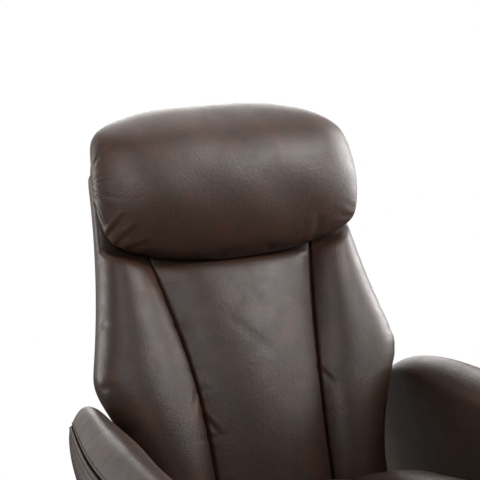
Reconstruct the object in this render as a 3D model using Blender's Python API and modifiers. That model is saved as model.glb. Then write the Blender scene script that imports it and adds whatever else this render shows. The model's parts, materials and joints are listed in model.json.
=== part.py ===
"""Swivel recliner with a matching ottoman, in metres, +Z up, the front of the chair towards -Y.

The origin is on the floor, in the middle of the set's outline. Left and right are the sitter's: left is +X.
A bentwood ring carries the swivel. On it a steel carrier holds the arms and guides the seat, which glides
forward as the back leans on its pivot. The ottoman rocks on a pivot of its own.
"""

import math

import bmesh
import bpy

SIDES = {"left": 1, "right": -1}

# Clearances
GAP = 0.0003
RUNNING = 0.0008

# Sewn panels of the seat and the ottoman
PANEL_CROWD = 2
PANEL_FLATNESS = 4

# Where the chair and the ottoman stand
CHAIR_TO_OTTOMAN = 0.84

# Bentwood floor base, the same section for the chair and the ottoman
RING_WIDTH = 0.055
RING_HEIGHT = 0.030
RING_CHAMFER = 0.006
GLIDE_RADIUS = 0.016
GLIDE_HEIGHT = 0.006
LEG_COUNT = 4
LEG_WIDTH = 0.046
LEG_THICKNESS = 0.026
HUB_HEIGHT = 0.045
HUB_CHAMFER = 0.005
CHAIR_RING_RADIUS = 0.33
CHAIR_HUB_RADIUS = 0.060
CHAIR_HUB_FOOT = 0.108
OTTOMAN_RING_RADIUS = 0.235
OTTOMAN_HUB_RADIUS = 0.045
OTTOMAN_HUB_FOOT = 0.125

# Swivel
POST_RADIUS = 0.0175
POST_TOP_LENGTH = 0.070
BEARING_RADIUS = 0.045
BEARING_HEIGHT = 0.008
HOUSING_FLANGE_RADIUS = 0.065
HOUSING_FLANGE = 0.008
HOUSING_WALL = 0.006
HOUSING_SLEEVE = 0.038
SWIVEL_PLATE_WIDTH = 0.20
SWIVEL_PLATE_DEPTH = 0.24
SWIVEL_PLATE_THICKNESS = 0.006

# Carrier under the seat
BEAM_SPACING = 0.18
BEAM_DEPTH = 0.040
BEAM_HEIGHT = 0.030
SIDE_PLATE_INSIDE = 0.300
SIDE_PLATE_THICKNESS = 0.006
SIDE_PLATE_FRONT = -0.160
SIDE_PLATE_REAR = 0.140
SIDE_PLATE_RISE = 0.080
SIDE_PLATE_FILLET = 0.018
SLOT_PIN_RADIUS = 0.0075
ROLLER_FLANGE_RADIUS = 0.012
FLANGE_THICKNESS = 0.005
STUD_RADIUS = 0.005
STUD_HEAD_RADIUS = 0.012
KNOB_RADIUS = 0.024
KNOB_LOBES = 6
KNOB_LOBE_DEPTH = 0.0025
KNOB_THICKNESS = 0.026

# Seat carriage, in a frame that is tilted with the seat
SEAT_FRAME_HEIGHT = 0.262
SEAT_TILT = math.radians(8)
SEAT_TRAVEL = 0.070
ROLLER_Y = -0.120
STUD_Y = 0.060
RAIL_INSIDE = 0.280
RAIL_THICKNESS = 0.005
RAIL_FRONT = -0.245
RAIL_LOW = -0.018
RAIL_FILLET = 0.010
EAR_RADIUS = 0.026
SEAT_TUBE_RADIUS = 0.011
SEAT_TUBE_UP = 0.020
SEAT_TUBE_FRONT = -0.220
SEAT_TUBE_REAR = 0.165
SPRING_WIRE = 0.0018
SPRING_SWING = 0.024
SPRING_PITCH = 0.040
SPRING_SPACING = 0.150
DUST_COVER_THICKNESS = 0.002
DUST_COVER_HALF = 0.262
SEAT_HALF = 0.296
SEAT_FRONT = -0.335
SEAT_REAR = 0.168
SEAT_THICKNESS = 0.112
SEAT_CROWN = 0.026
SEAT_ROLL = 0.030
SEAT_SEAM_REAR = 0.118
SEAT_SEAM_FRONT = 0.145

# Back, in a frame on the recline pivot with its own Z up the back
BACK_RECLINE = math.radians(20)
PIVOT_BACK = 0.252
PIVOT_UP = 0.080
HINGE_PIN_RADIUS = 0.006
HINGE_HEAD_RADIUS = 0.010
HINGE_HEAD = 0.006
HINGE_REACH = 0.030
PIVOT_TUBE_RADIUS = 0.010
BACK_FRONT = 0.075
BACK_EDGE = 0.044
BACK_BOTTOM = -0.060
BACK_SEAT_LINE = 0.060
BACK_FOOT_HALF = 0.240
BACK_WIDE_HALF = 0.312
BACK_WIDE_UP = 0.285
BACK_TOP_HALF = 0.253
BACK_TOP = 0.740
BACK_NECK = 0.690
BACK_ROWS = 12
BACK_NECK_ROWS = 2
BACK_TUCK = 0.006
BACK_LUMBAR = 0.018
BACK_SEAM_FOOT = 0.115
BACK_SEAM_FLARE = 0.26
SHELL_TOP = 0.680
SHELL_DEPTH = 0.070
SHELL_TOP_DEPTH = 0.024
SHELL_WALL = 0.006
SHELL_TAPER = 0.88
SHELL_RIM = 0.2
SHELL_INSET = 0.010
HOOP_RADIUS = 0.009
HOOP_FOOT_HALF = 0.190
HOOP_TOP_HALF = 0.165
HOOP_TOP = 0.650
HOOP_BEND = 0.050
BACK_SPRING_HEIGHTS = (0.20, 0.38)
PILLOW_HALF = 0.274
PILLOW_BOTTOM = 0.535
PILLOW_DROOP = 0.045
PILLOW_TOP = 0.804
PILLOW_SHOULDER = 0.060
PILLOW_FRONT = 0.162
PILLOW_EDGE = 0.122
PILLOW_ROLL = 0.100
PILLOW_ROUND = 0.024
PILLOW_BARREL = 0.06
PILLOW_TUCK = 0.12

# Arms
ARM_WIDTH = 0.116
ARM_FRONT = -0.330
ARM_REAR = 0.388
ARM_CLEARANCE = 0.0093
ARM_HEIGHT = 0.299
ARM_ROUND_INSIDE = 0.034
ARM_ROUND_OUTSIDE = 0.058
ARM_END_DROP = 0.034
ARM_UNDERCUT = 0.016
ARM_FRONT_TAPER = 0.25
ARM_REAR_TAPER = 0.60
ARM_FOOT_REACH = 0.025
ARM_SLANT = 0.045
ARM_RAKE = 0.205

# Ottoman top, in a frame on the tilt axis
OTTOMAN_PIVOT_RISE = 0.045
OTTOMAN_BLOCK_HALF = 0.024
OTTOMAN_BLOCK_DEPTH = 0.050
OTTOMAN_PIN_RADIUS = 0.007
OTTOMAN_PIN_HEAD = 0.012
OTTOMAN_PIN_HEAD_LENGTH = 0.005
OTTOMAN_EAR_THICKNESS = 0.006
OTTOMAN_EAR_RADIUS = 0.018
OTTOMAN_EAR_HALF = 0.035
OTTOMAN_PAN_UP = 0.040
OTTOMAN_PAN_THICKNESS = 0.014
OTTOMAN_PAN_INSET = 0.030
OTTOMAN_HALF_WIDTH = 0.260
OTTOMAN_HALF_DEPTH = 0.205
OTTOMAN_THICKNESS = 0.105
OTTOMAN_CROWN = 0.030
OTTOMAN_SEAM = 0.105

# Fineness of round pieces
RING_STEPS = 48
ROUND_STEPS = 24
ARC_STEPS = 5


# Heights and places that follow from the sizes above

RING_FOOT = GLIDE_HEIGHT + GAP
RING_TOP = RING_FOOT + RING_HEIGHT
CHAIR_HUB_TOP = CHAIR_HUB_FOOT + HUB_HEIGHT
FLANGE_FOOT = CHAIR_HUB_TOP + BEARING_HEIGHT + 2 * GAP
SWIVEL_PLATE_FOOT = FLANGE_FOOT + HOUSING_FLANGE + GAP
BEAM_FOOT = SWIVEL_PLATE_FOOT + SWIVEL_PLATE_THICKNESS + GAP
ARM_INSIDE = SIDE_PLATE_INSIDE + SIDE_PLATE_THICKNESS + GAP
SLOT_HALF = SLOT_PIN_RADIUS + RUNNING
SHELL_BOTTOM = PIVOT_TUBE_RADIUS + RUNNING
SPRING_UP = SEAT_TUBE_UP + SEAT_TUBE_RADIUS + SPRING_WIRE + GAP
SEAT_BOTTOM = SPRING_UP + SPRING_WIRE + GAP
RAIL_HIGH = SEAT_BOTTOM - GAP
BACK_INNER = PIVOT_TUBE_RADIUS
OTTOMAN_HUB_TOP = OTTOMAN_HUB_FOOT + HUB_HEIGHT
OTTOMAN_PIVOT = OTTOMAN_HUB_TOP + OTTOMAN_PIVOT_RISE


def seat_point(y, z):
    """A point of the tilted seat frame as (y, z) in the chair's upright frame."""
    return (
        y * math.cos(SEAT_TILT) + z * math.sin(SEAT_TILT),
        SEAT_FRAME_HEIGHT - y * math.sin(SEAT_TILT) + z * math.cos(SEAT_TILT),
    )


ARM_BOTTOM = seat_point(STUD_Y, 0)[1] + KNOB_RADIUS + ARM_CLEARANCE
ARM_CREST = ARM_BOTTOM + ARM_HEIGHT
SIDE_PLATE_TOP = ARM_BOTTOM + SIDE_PLATE_RISE
CHAIR_REACH = seat_point(PIVOT_BACK, PIVOT_UP)[0] + (PILLOW_TOP - PILLOW_ROUND) * math.sin(BACK_RECLINE)
OTTOMAN_REACH = max(OTTOMAN_HALF_DEPTH, OTTOMAN_RING_RADIUS)
CHAIR_Y = (CHAIR_TO_OTTOMAN + OTTOMAN_REACH - CHAIR_REACH) / 2
OTTOMAN_Y = CHAIR_Y - CHAIR_TO_OTTOMAN


# Scene, materials and object helpers


def clear_scene():
    for obj in list(bpy.data.objects):
        bpy.data.objects.remove(obj, do_unlink=True)


def new_collection(name):
    collection = bpy.data.collections.new(name)
    bpy.context.scene.collection.children.link(collection)
    return collection


def new_material(name, colour, roughness, metallic=0.0):
    material = bpy.data.materials.new(name)
    material.use_nodes = True
    shader = material.node_tree.nodes["Principled BSDF"]
    shader.inputs["Base Color"].default_value = (*colour, 1.0)
    shader.inputs["Roughness"].default_value = roughness
    shader.inputs["Metallic"].default_value = metallic
    return material


clear_scene()
PARTS = new_collection("swivel_recliner_with_ottoman")
LEATHER = new_material("brown_leather", (0.060, 0.042, 0.036), 0.42)
WALNUT = new_material("walnut_stained_bentwood", (0.110, 0.050, 0.024), 0.38)
STEEL = new_material("black_painted_steel", (0.020, 0.020, 0.021), 0.45)
ZINC = new_material("zinc_plated_steel", (0.560, 0.570, 0.580), 0.32, 1.0)
PLASTIC = new_material("black_plastic", (0.018, 0.018, 0.019), 0.50)
FELT = new_material("grey_felt", (0.120, 0.115, 0.110), 0.95)
DUST_CLOTH = new_material("black_dust_cloth", (0.012, 0.012, 0.012), 0.95)
SPRING_STEEL = new_material("spring_steel", (0.300, 0.290, 0.270), 0.40, 1.0)
PLYWOOD = new_material("birch_plywood", (0.480, 0.330, 0.190), 0.60)


def add_empty(name, parent=None, location=(0, 0, 0), rotation=(0, 0, 0)):
    """A frame that pieces hang on. Moving pieces hang on one that sits on their joint's axis."""
    empty = bpy.data.objects.new(name, None)
    PARTS.objects.link(empty)
    empty.parent = parent
    empty.location = location
    empty.rotation_euler = rotation
    return empty


def add_object(name, data, material, parent, location=(0, 0, 0), rotation=(0, 0, 0)):
    obj = bpy.data.objects.new(name, data)
    PARTS.objects.link(obj)
    obj.parent = parent
    obj.location = location
    obj.rotation_euler = rotation
    data.materials.append(material)
    return obj


def mesh_from(bm, name, sharp_degrees=40):
    if bm.calc_volume(signed=True) < 0:
        bmesh.ops.reverse_faces(bm, faces=bm.faces)
    mesh = bpy.data.meshes.new(name)
    bm.to_mesh(mesh)
    bm.free()
    mesh.shade_smooth()
    mesh.set_sharp_from_angle(angle=math.radians(sharp_degrees))
    return mesh


# Shapes that several pieces use

FACING_X = (math.pi / 2, 0, math.pi / 2)
ALONG_X = (0, math.pi / 2, 0)


def box(name, size, material, parent, location, bevel):
    """A bar or board of that size with rounded edges, centred on its location."""
    bm = bmesh.new()
    bmesh.ops.create_cube(bm, size=1.0)
    bmesh.ops.scale(bm, vec=size, verts=bm.verts)
    obj = add_object(name, mesh_from(bm, name), material, parent, location)
    rounding = obj.modifiers.new("rounded_edges", "BEVEL")
    rounding.width = bevel
    rounding.segments = 1
    return obj


def turned(name, profile, material, parent, location=(0, 0, 0), rotation=(0, 0, 0), steps=ROUND_STEPS):
    """A profile of (radius, height) points, outer side from top to bottom, turned round its own Z.

    A profile that leaves the axis closes on itself, which leaves a bore.
    """
    bm = bmesh.new()
    points = [bm.verts.new((radius, 0, height)) for radius, height in profile]
    for first, second in zip(points, points[1:]):
        bm.edges.new((first, second))
    if profile[0][0] > 0:
        bm.edges.new((points[-1], points[0]))
    mesh = bpy.data.meshes.new(name)
    bm.to_mesh(mesh)
    bm.free()
    obj = add_object(name, mesh, material, parent, location, rotation)
    screw = obj.modifiers.new("turned", "SCREW")
    screw.steps = steps
    screw.render_steps = steps
    screw.use_merge_vertices = True
    screw.merge_threshold = 0.00001
    screw.use_smooth_shade = True
    return obj


def bored(outer, bore, low, high):
    """Profile of a plain ring or tube with a bore."""
    return [(outer, high), (outer, low), (bore, low), (bore, high)]


def arc(centre, radius, start, end, steps=ARC_STEPS):
    """Points on an arc from start to end, in degrees."""
    angles = [math.radians(start + (end - start) * i / steps) for i in range(steps + 1)]
    return [(centre[0] + radius * math.cos(a), centre[1] + radius * math.sin(a)) for a in angles]


def circle(centre, radius, steps=ROUND_STEPS):
    return arc(centre, radius, 0, 360, steps)[:-1]


def slot(start, length, half):
    """A slot along the first axis, with round ends at start and at start + length."""
    y, z = start
    return arc((y + length, z), half, -90, 90) + arc((y, z), half, 90, 270)


def filleted(corners, radius):
    """A closed outline with every corner rounded to that radius."""
    outline = []
    for i, corner in enumerate(corners):
        before, after = corners[i - 1], corners[(i + 1) % len(corners)]
        to_before = math.atan2(before[1] - corner[1], before[0] - corner[0])
        to_after = math.atan2(after[1] - corner[1], after[0] - corner[0])
        half = ((to_after - to_before + math.pi) % (2 * math.pi) - math.pi) / 2
        reach = radius / abs(math.sin(half))
        middle = to_before + half
        centre = (corner[0] + reach * math.cos(middle), corner[1] + reach * math.sin(middle))
        side = math.copysign(90, half)
        first, last = math.degrees(to_before) - side, math.degrees(to_after) + side
        turn = (last - first + 180) % 360 - 180
        outline += arc(centre, radius, first, first + turn, ARC_STEPS)
    return outline


def plate(name, outlines, thickness, material, parent, location=(0, 0, 0), rotation=FACING_X):
    """A flat sheet: the first outline is its edge and the others are holes, centred through its thickness."""
    curve = bpy.data.curves.new(name, "CURVE")
    curve.dimensions = "2D"
    curve.fill_mode = "BOTH"
    curve.extrude = thickness / 2
    for outline in outlines:
        spline = curve.splines.new("POLY")
        spline.points.add(len(outline) - 1)
        for point, (u, v) in zip(spline.points, outline):
            point.co = (u, v, 0, 1)
        spline.use_cyclic_u = True
    return add_object(name, curve, material, parent, location, rotation)


def rod(name, points, radius, material, parent, location=(0, 0, 0), sides=1):
    """A round bar, tube or wire along the points, with flat ends."""
    curve = bpy.data.curves.new(name, "CURVE")
    curve.dimensions = "3D"
    curve.bevel_depth = radius
    curve.bevel_resolution = sides
    curve.use_fill_caps = True
    spline = curve.splines.new("POLY")
    spline.points.add(len(points) - 1)
    for point, place in zip(spline.points, points):
        point.co = (*place, 1)
    return add_object(name, curve, material, parent, location)


def pad(name, cells, shape, parent):
    """An upholstered form. The cage is a cube cut into cells, whose points (-1 to 1 each way) shape() places."""
    bm = bmesh.new()
    bmesh.ops.create_cube(bm, size=2.0)
    for axis, count in enumerate(cells):
        across = [e for e in bm.edges if abs(e.verts[0].co[axis] - e.verts[1].co[axis]) > GAP]
        bmesh.ops.subdivide_edges(bm, edges=across, cuts=count - 1, use_grid_fill=True)
    for vert in bm.verts:
        vert.co = shape(*vert.co)
    obj = add_object(name, mesh_from(bm, name, 180), LEATHER, parent)
    soft = obj.modifiers.new("soft", "SUBSURF")
    soft.levels = 1
    soft.render_levels = 1
    return obj


def blend(low, high, share):
    return low + (high - low) * share


def bulge(t, power=2.4):
    """1 in the middle of a panel, falling to 0 at t = -1 and 1."""
    return 1 - abs(t) ** power


def three_panels(a, seam, half, crowd=1):
    """Place across a pad sewn into three panels, and the place from -1 to 1 within the panel.

    A crowd above 1 draws the cage's lines towards the seams, which makes the channels between panels steeper.
    """
    share = 1.5 * a
    if abs(share) <= 0.5:
        t = math.copysign(abs(2 * share) ** (1 / crowd), share)
        return seam * t, t
    beyond = (abs(share) - 0.5) ** crowd
    return math.copysign(seam + (half - seam) * beyond, a), 2 * beyond - 1


# Bentwood floor base


def leg_outline(ring_radius, hub_radius, hub_foot):
    """Side view of one bent leg: flat on the ring, then an S-bend up to the middle of the hub."""
    foot_inner = ring_radius - RING_WIDTH
    foot_outer = ring_radius - RING_CHAMFER
    hub_face = hub_radius + GAP
    foot_middle = RING_TOP + GAP + LEG_THICKNESS / 2
    rise = hub_foot + HUB_HEIGHT / 2 - foot_middle
    steps = 2 * ARC_STEPS
    upper, lower = [(foot_outer, foot_middle + LEG_THICKNESS / 2)], [(foot_outer, RING_TOP + GAP)]
    for i in range(steps + 1):
        t = i / steps
        radius = blend(foot_inner, hub_face, t)
        height = foot_middle + rise * t * t * (3 - 2 * t)
        slope = rise * 6 * t * (1 - t) / (foot_inner - hub_face)
        length = math.hypot(1, slope)
        lean, half = slope / length, LEG_THICKNESS / 2 / length
        upper.append((radius + lean * LEG_THICKNESS / 2, height + half))
        lower.append((radius - lean * LEG_THICKNESS / 2, height - half))
    return upper + lower[::-1]


def floor_base(prefix, parent, ring_radius, hub_radius, hub_foot, bore):
    """Ring on glides, with bent legs up to a turned hub."""
    ring_inner = ring_radius - RING_WIDTH
    section = [
        (ring_radius - RING_CHAMFER, RING_TOP),
        (ring_radius, RING_TOP - RING_CHAMFER),
        (ring_radius, RING_FOOT),
        (ring_inner, RING_FOOT),
        (ring_inner, RING_TOP - RING_CHAMFER),
        (ring_inner + RING_CHAMFER, RING_TOP),
    ]
    turned(f"{prefix}_ring", section, WALNUT, parent, steps=RING_STEPS)
    outline = leg_outline(ring_radius, hub_radius, hub_foot)
    for number in range(LEG_COUNT):
        turn = 2 * math.pi * (number + 0.5) / LEG_COUNT
        lie = (math.pi / 2, 0, turn)
        plate(f"{prefix}_leg_{number + 1}", [outline], LEG_WIDTH, WALNUT, parent, rotation=lie)
        middle = ring_radius - RING_WIDTH / 2
        under = (middle * math.cos(turn), middle * math.sin(turn), 0)
        glide = [(0, GLIDE_HEIGHT), (GLIDE_RADIUS, GLIDE_HEIGHT), (GLIDE_RADIUS, 0), (0, 0)]
        turned(f"{prefix}_glide_{number + 1}", glide, FELT, parent, under)
    hub_top = hub_foot + HUB_HEIGHT
    hub = [
        (hub_radius - HUB_CHAMFER, hub_top),
        (hub_radius, hub_top - HUB_CHAMFER),
        (hub_radius, hub_foot),
    ]
    if bore:
        hub += [(bore, hub_foot), (bore, hub_top)]
    else:
        hub = [(0, hub_top), *hub, (0, hub_foot)]
    turned(f"{prefix}_hub", hub, WALNUT, parent)


# Swivel and carrier


def swivel_parts(base, carrier):
    post_top = CHAIR_HUB_TOP + POST_TOP_LENGTH
    post = [(0, post_top), (POST_RADIUS, post_top), (POST_RADIUS, CHAIR_HUB_FOOT), (0, CHAIR_HUB_FOOT)]
    turned("swivel_post", post, ZINC, base)
    bore = POST_RADIUS + RUNNING
    bearing_foot = CHAIR_HUB_TOP + GAP
    race = bored(BEARING_RADIUS, bore, bearing_foot, bearing_foot + BEARING_HEIGHT)
    turned("swivel_bearing", race, ZINC, base)
    flange_top = FLANGE_FOOT + HOUSING_FLANGE
    sleeve = bore + HOUSING_WALL
    sleeve_top = FLANGE_FOOT + HOUSING_SLEEVE
    housing = [
        (sleeve, sleeve_top),
        (sleeve, flange_top),
        (HOUSING_FLANGE_RADIUS, flange_top),
        (HOUSING_FLANGE_RADIUS, FLANGE_FOOT),
        (bore, FLANGE_FOOT),
        (bore, sleeve_top),
    ]
    turned("swivel_housing", housing, STEEL, carrier)
    half_width, half_depth = SWIVEL_PLATE_WIDTH / 2, SWIVEL_PLATE_DEPTH / 2
    corners = [
        (-half_width, -half_depth),
        (half_width, -half_depth),
        (half_width, half_depth),
        (-half_width, half_depth),
    ]
    outlines = [filleted(corners, SIDE_PLATE_FILLET), circle((0, 0), sleeve + GAP)]
    middle = SWIVEL_PLATE_FOOT + SWIVEL_PLATE_THICKNESS / 2
    plate("swivel_plate", outlines, SWIVEL_PLATE_THICKNESS, STEEL, carrier, (0, 0, middle), (0, 0, 0))


def carrier_parts(carrier):
    length = 2 * (SIDE_PLATE_INSIDE - GAP)
    for name, side in (("front", -1), ("rear", 1)):
        place = (0, side * BEAM_SPACING / 2, BEAM_FOOT + BEAM_HEIGHT / 2)
        box(f"carrier_beam_{name}", (length, BEAM_DEPTH, BEAM_HEIGHT), STEEL, carrier, place, HUB_CHAMFER)
    stud_y, stud_z = seat_point(STUD_Y, 0)
    roller_y, roller_z = seat_point(ROLLER_Y, 0)
    shoulder = (SIDE_PLATE_TOP + stud_z) / 2
    corners = [
        (SIDE_PLATE_FRONT, BEAM_FOOT),
        (SIDE_PLATE_REAR, BEAM_FOOT),
        (SIDE_PLATE_REAR, shoulder),
        (stud_y, SIDE_PLATE_TOP),
        (SIDE_PLATE_FRONT, SIDE_PLATE_TOP),
    ]
    outlines = [filleted(corners, SIDE_PLATE_FILLET), circle((stud_y, stud_z), STUD_RADIUS + GAP)]
    rail_outside = RAIL_INSIDE + RAIL_THICKNESS
    for name, side in SIDES.items():
        middle = side * (SIDE_PLATE_INSIDE + SIDE_PLATE_THICKNESS / 2)
        plate(f"side_plate_{name}", outlines, SIDE_PLATE_THICKNESS, STEEL, carrier, (middle, 0, 0))
        lie = (0, side * math.pi / 2, 0)
        roller = [
            (0, SIDE_PLATE_INSIDE - GAP),
            (ROLLER_FLANGE_RADIUS, SIDE_PLATE_INSIDE - GAP),
            (ROLLER_FLANGE_RADIUS, rail_outside + RUNNING),
            (SLOT_PIN_RADIUS, rail_outside + RUNNING),
            (SLOT_PIN_RADIUS, RAIL_INSIDE - RUNNING),
            (ROLLER_FLANGE_RADIUS, RAIL_INSIDE - RUNNING),
            (ROLLER_FLANGE_RADIUS, RAIL_INSIDE - RUNNING - FLANGE_THICKNESS),
            (0, RAIL_INSIDE - RUNNING - FLANGE_THICKNESS),
        ]
        turned(f"guide_roller_{name}", roller, ZINC, carrier, (0, roller_y, roller_z), lie)
        stud_end = ARM_INSIDE + KNOB_THICKNESS - RUNNING
        stud = [
            (0, stud_end),
            (STUD_RADIUS, stud_end),
            (STUD_RADIUS, SIDE_PLATE_INSIDE - GAP),
            (SLOT_PIN_RADIUS, SIDE_PLATE_INSIDE - GAP),
            (SLOT_PIN_RADIUS, RAIL_INSIDE - RUNNING),
            (STUD_HEAD_RADIUS, RAIL_INSIDE - RUNNING),
            (STUD_HEAD_RADIUS, RAIL_INSIDE - RUNNING - FLANGE_THICKNESS),
            (0, RAIL_INSIDE - RUNNING - FLANGE_THICKNESS),
        ]
        turned(f"clamp_stud_{name}", stud, ZINC, carrier, (0, stud_y, stud_z), lie)


def recline_knobs(carrier):
    """Scalloped hand knobs that clamp the seat rails. Each hangs on its own stud's axis."""
    stud_y, stud_z = seat_point(STUD_Y, 0)
    count = 4 * KNOB_LOBES
    angles = [2 * math.pi * i / count for i in range(count)]
    reach = [KNOB_RADIUS - KNOB_LOBE_DEPTH * (1 - math.cos(KNOB_LOBES * a)) / 2 for a in angles]
    rim = [(r * math.cos(a), r * math.sin(a)) for r, a in zip(reach, angles)]
    outlines = [rim, circle((0, 0), STUD_RADIUS + RUNNING)]
    for name, side in SIDES.items():
        middle = side * (ARM_INSIDE + KNOB_THICKNESS / 2)
        axis = add_empty(f"knob_axis_{name}", carrier, (middle, stud_y, stud_z))
        plate(f"recline_knob_{name}", outlines, KNOB_THICKNESS, PLASTIC, axis)


def arm_shape(side):
    """An upholstered arm: flat inside, a round crest, a side tucked in under it, and a rear raked forward outside."""

    def shape(a, b, c):
        across = (side * a + 1) / 2
        b *= 1.5 - 0.5 * b * b
        end = abs(b) ** 5
        height = (c + 1) / 2
        low = 1 - height
        taper = ARM_FRONT_TAPER * end if b < 0 else ARM_REAR_TAPER * b * b
        width = ARM_WIDTH * (1 - taper) - ARM_UNDERCUT * low**0.5
        x = ARM_INSIDE + width * across
        shoulder = blend(ARM_ROUND_INSIDE, ARM_ROUND_OUTSIDE, across)
        crest = ARM_CREST - shoulder * abs(a) ** 2.6 - ARM_END_DROP * end
        z = blend(ARM_BOTTOM, crest, height)
        rear = ARM_REAR + ARM_FOOT_REACH * low - (ARM_SLANT + ARM_RAKE * low) * across
        y = blend(ARM_FRONT, rear, (b + 1) / 2)
        return side * x, y, z

    return shape


def arms(carrier):
    for name, side in SIDES.items():
        pad(f"arm_{name}", (4, 6, 4), arm_shape(side), carrier)


# Seat carriage


def seat_frame_parts(seat):
    pivot = (PIVOT_BACK, PIVOT_UP)
    ear_low = PIVOT_UP - EAR_RADIUS
    corners = [
        (RAIL_FRONT, RAIL_LOW),
        (SEAT_REAR, RAIL_LOW),
        (PIVOT_BACK + EAR_RADIUS, ear_low),
        (PIVOT_BACK + EAR_RADIUS, PIVOT_UP + EAR_RADIUS),
        (PIVOT_BACK - EAR_RADIUS, PIVOT_UP + EAR_RADIUS),
        (SEAT_REAR + EAR_RADIUS / 2, RAIL_HIGH),
        (RAIL_FRONT, RAIL_HIGH),
    ]
    outlines = [
        filleted(corners, RAIL_FILLET),
        slot((ROLLER_Y, 0), SEAT_TRAVEL, SLOT_HALF),
        slot((STUD_Y, 0), SEAT_TRAVEL, SLOT_HALF),
        circle(pivot, HINGE_PIN_RADIUS + GAP),
    ]
    head_face = RAIL_INSIDE + RAIL_THICKNESS + GAP
    for name, side in SIDES.items():
        middle = side * (RAIL_INSIDE + RAIL_THICKNESS / 2)
        plate(f"seat_rail_{name}", outlines, RAIL_THICKNESS, STEEL, seat, (middle, 0, 0))
        pin = [
            (0, head_face + HINGE_HEAD),
            (HINGE_HEAD_RADIUS, head_face + HINGE_HEAD),
            (HINGE_HEAD_RADIUS, head_face),
            (HINGE_PIN_RADIUS, head_face),
            (HINGE_PIN_RADIUS, head_face - HINGE_REACH),
            (0, head_face - HINGE_REACH),
        ]
        lie = (0, side * math.pi / 2, 0)
        turned(f"hinge_pin_{name}", pin, ZINC, seat, (0, *pivot), lie)
    end = RAIL_INSIDE - GAP
    for name, y in (("front", SEAT_TUBE_FRONT), ("rear", SEAT_TUBE_REAR)):
        ends = [(-end, y, SEAT_TUBE_UP), (end, y, SEAT_TUBE_UP)]
        rod(f"seat_tube_{name}", ends, SEAT_TUBE_RADIUS, STEEL, seat, sides=3)
    depth = SEAT_TUBE_REAR - SEAT_TUBE_FRONT
    cover_top = SEAT_TUBE_UP - SEAT_TUBE_RADIUS - GAP
    cover = (2 * DUST_COVER_HALF, depth + 2 * SEAT_TUBE_RADIUS, DUST_COVER_THICKNESS)
    place = (0, SEAT_TUBE_FRONT + depth / 2, cover_top - DUST_COVER_THICKNESS / 2)
    box("seat_dust_cover", cover, DUST_CLOTH, seat, place, DUST_COVER_THICKNESS / 4)


def zigzag(start, end, swing, pitch):
    """A sinuous wire's (along, across) points: whole waves near that pitch between two straight ends."""
    straight = 4 * SPRING_WIRE
    waves = max(1, round((end - start - 2 * straight) / pitch))
    count = 4 * waves
    middle = [
        (
            blend(start + straight, end - straight, i / count),
            swing * math.sin(2 * math.pi * waves * i / count),
        )
        for i in range(count + 1)
    ]
    return [(start, 0), *middle, (end, 0)]


def seat_springs(seat):
    """Sinuous springs that lie on the two cross tubes."""
    run = zigzag(SEAT_TUBE_FRONT, SEAT_TUBE_REAR, SPRING_SWING, SPRING_PITCH)
    for number in range(3):
        x = SPRING_SPACING * (number - 1)
        points = [(x + across, along, SPRING_UP) for along, across in run]
        rod(f"seat_spring_{number + 1}", points, SPRING_WIRE, SPRING_STEEL, seat, sides=0)


def seat_cushion_shape(a, b, c):
    """Three sewn panels, crowned, rolling down beside the arms, flat underneath."""
    share = (b + 1) / 2
    seam = blend(SEAT_SEAM_FRONT, SEAT_SEAM_REAR, share)
    x, t = three_panels(a, seam, SEAT_HALF, PANEL_CROWD)
    y = blend(SEAT_FRONT, SEAT_REAR, share)
    top = SEAT_BOTTOM + SEAT_THICKNESS + SEAT_CROWN * bulge(t, PANEL_FLATNESS) * bulge(b, 4)
    top -= SEAT_ROLL * (max(0, abs(x) - seam) / (SEAT_HALF - seam)) ** 2
    z = blend(SEAT_BOTTOM, top, (c + 1) / 2)
    return x, y, z


# Back


def back_half_width(z):
    """Half the back's width: widest beside the arms, narrower towards the seat and the head."""
    if z < BACK_WIDE_UP:
        t = min(1, (BACK_WIDE_UP - z) / (BACK_WIDE_UP - BACK_SEAT_LINE))
        return BACK_WIDE_HALF - (BACK_WIDE_HALF - BACK_FOOT_HALF) * (1 - (1 - t) ** 1.6)
    t = min(1, (z - BACK_WIDE_UP) / (BACK_TOP - BACK_WIDE_UP))
    return BACK_WIDE_HALF - (BACK_WIDE_HALF - BACK_TOP_HALF) * (1 - (1 - t) ** 2)


def pillow_line(share):
    """Height of the headrest's lower edge, which hangs lower in the middle."""
    return PILLOW_BOTTOM - PILLOW_DROOP * (1 - share * share)


def back_cushion_shape(a, b, c):
    """Three panels between two curved seams, a round foot about the pivot, and a thin neck behind the headrest."""
    row = BACK_ROWS * (b + 1) / 2
    panel_rows = BACK_ROWS - BACK_NECK_ROWS
    up = min(1, row / panel_rows)
    line = pillow_line(a) - GAP
    z = blend(BACK_BOTTOM, line, up)
    z += (BACK_NECK - line) * max(0, row - panel_rows) / BACK_NECK_ROWS
    above = max(0, z - BACK_SEAT_LINE)
    seam = BACK_SEAM_FOOT + BACK_SEAM_FLARE * above * above
    x, t = three_panels(a, seam, back_half_width(z))
    front = blend(BACK_EDGE, BACK_FRONT, bulge(t) * bulge(2 * up - 1, 8))
    front += BACK_LUMBAR * math.sin(math.pi * min(1, max(0, z / line)))
    front -= BACK_TUCK * max(0, 1 - abs(row - panel_rows))
    if z < 0:
        front = min(front, math.sqrt(BACK_FRONT**2 - z * z))
    y = blend(-front, -BACK_INNER - GAP, (c + 1) / 2)
    return x, y, z


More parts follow.
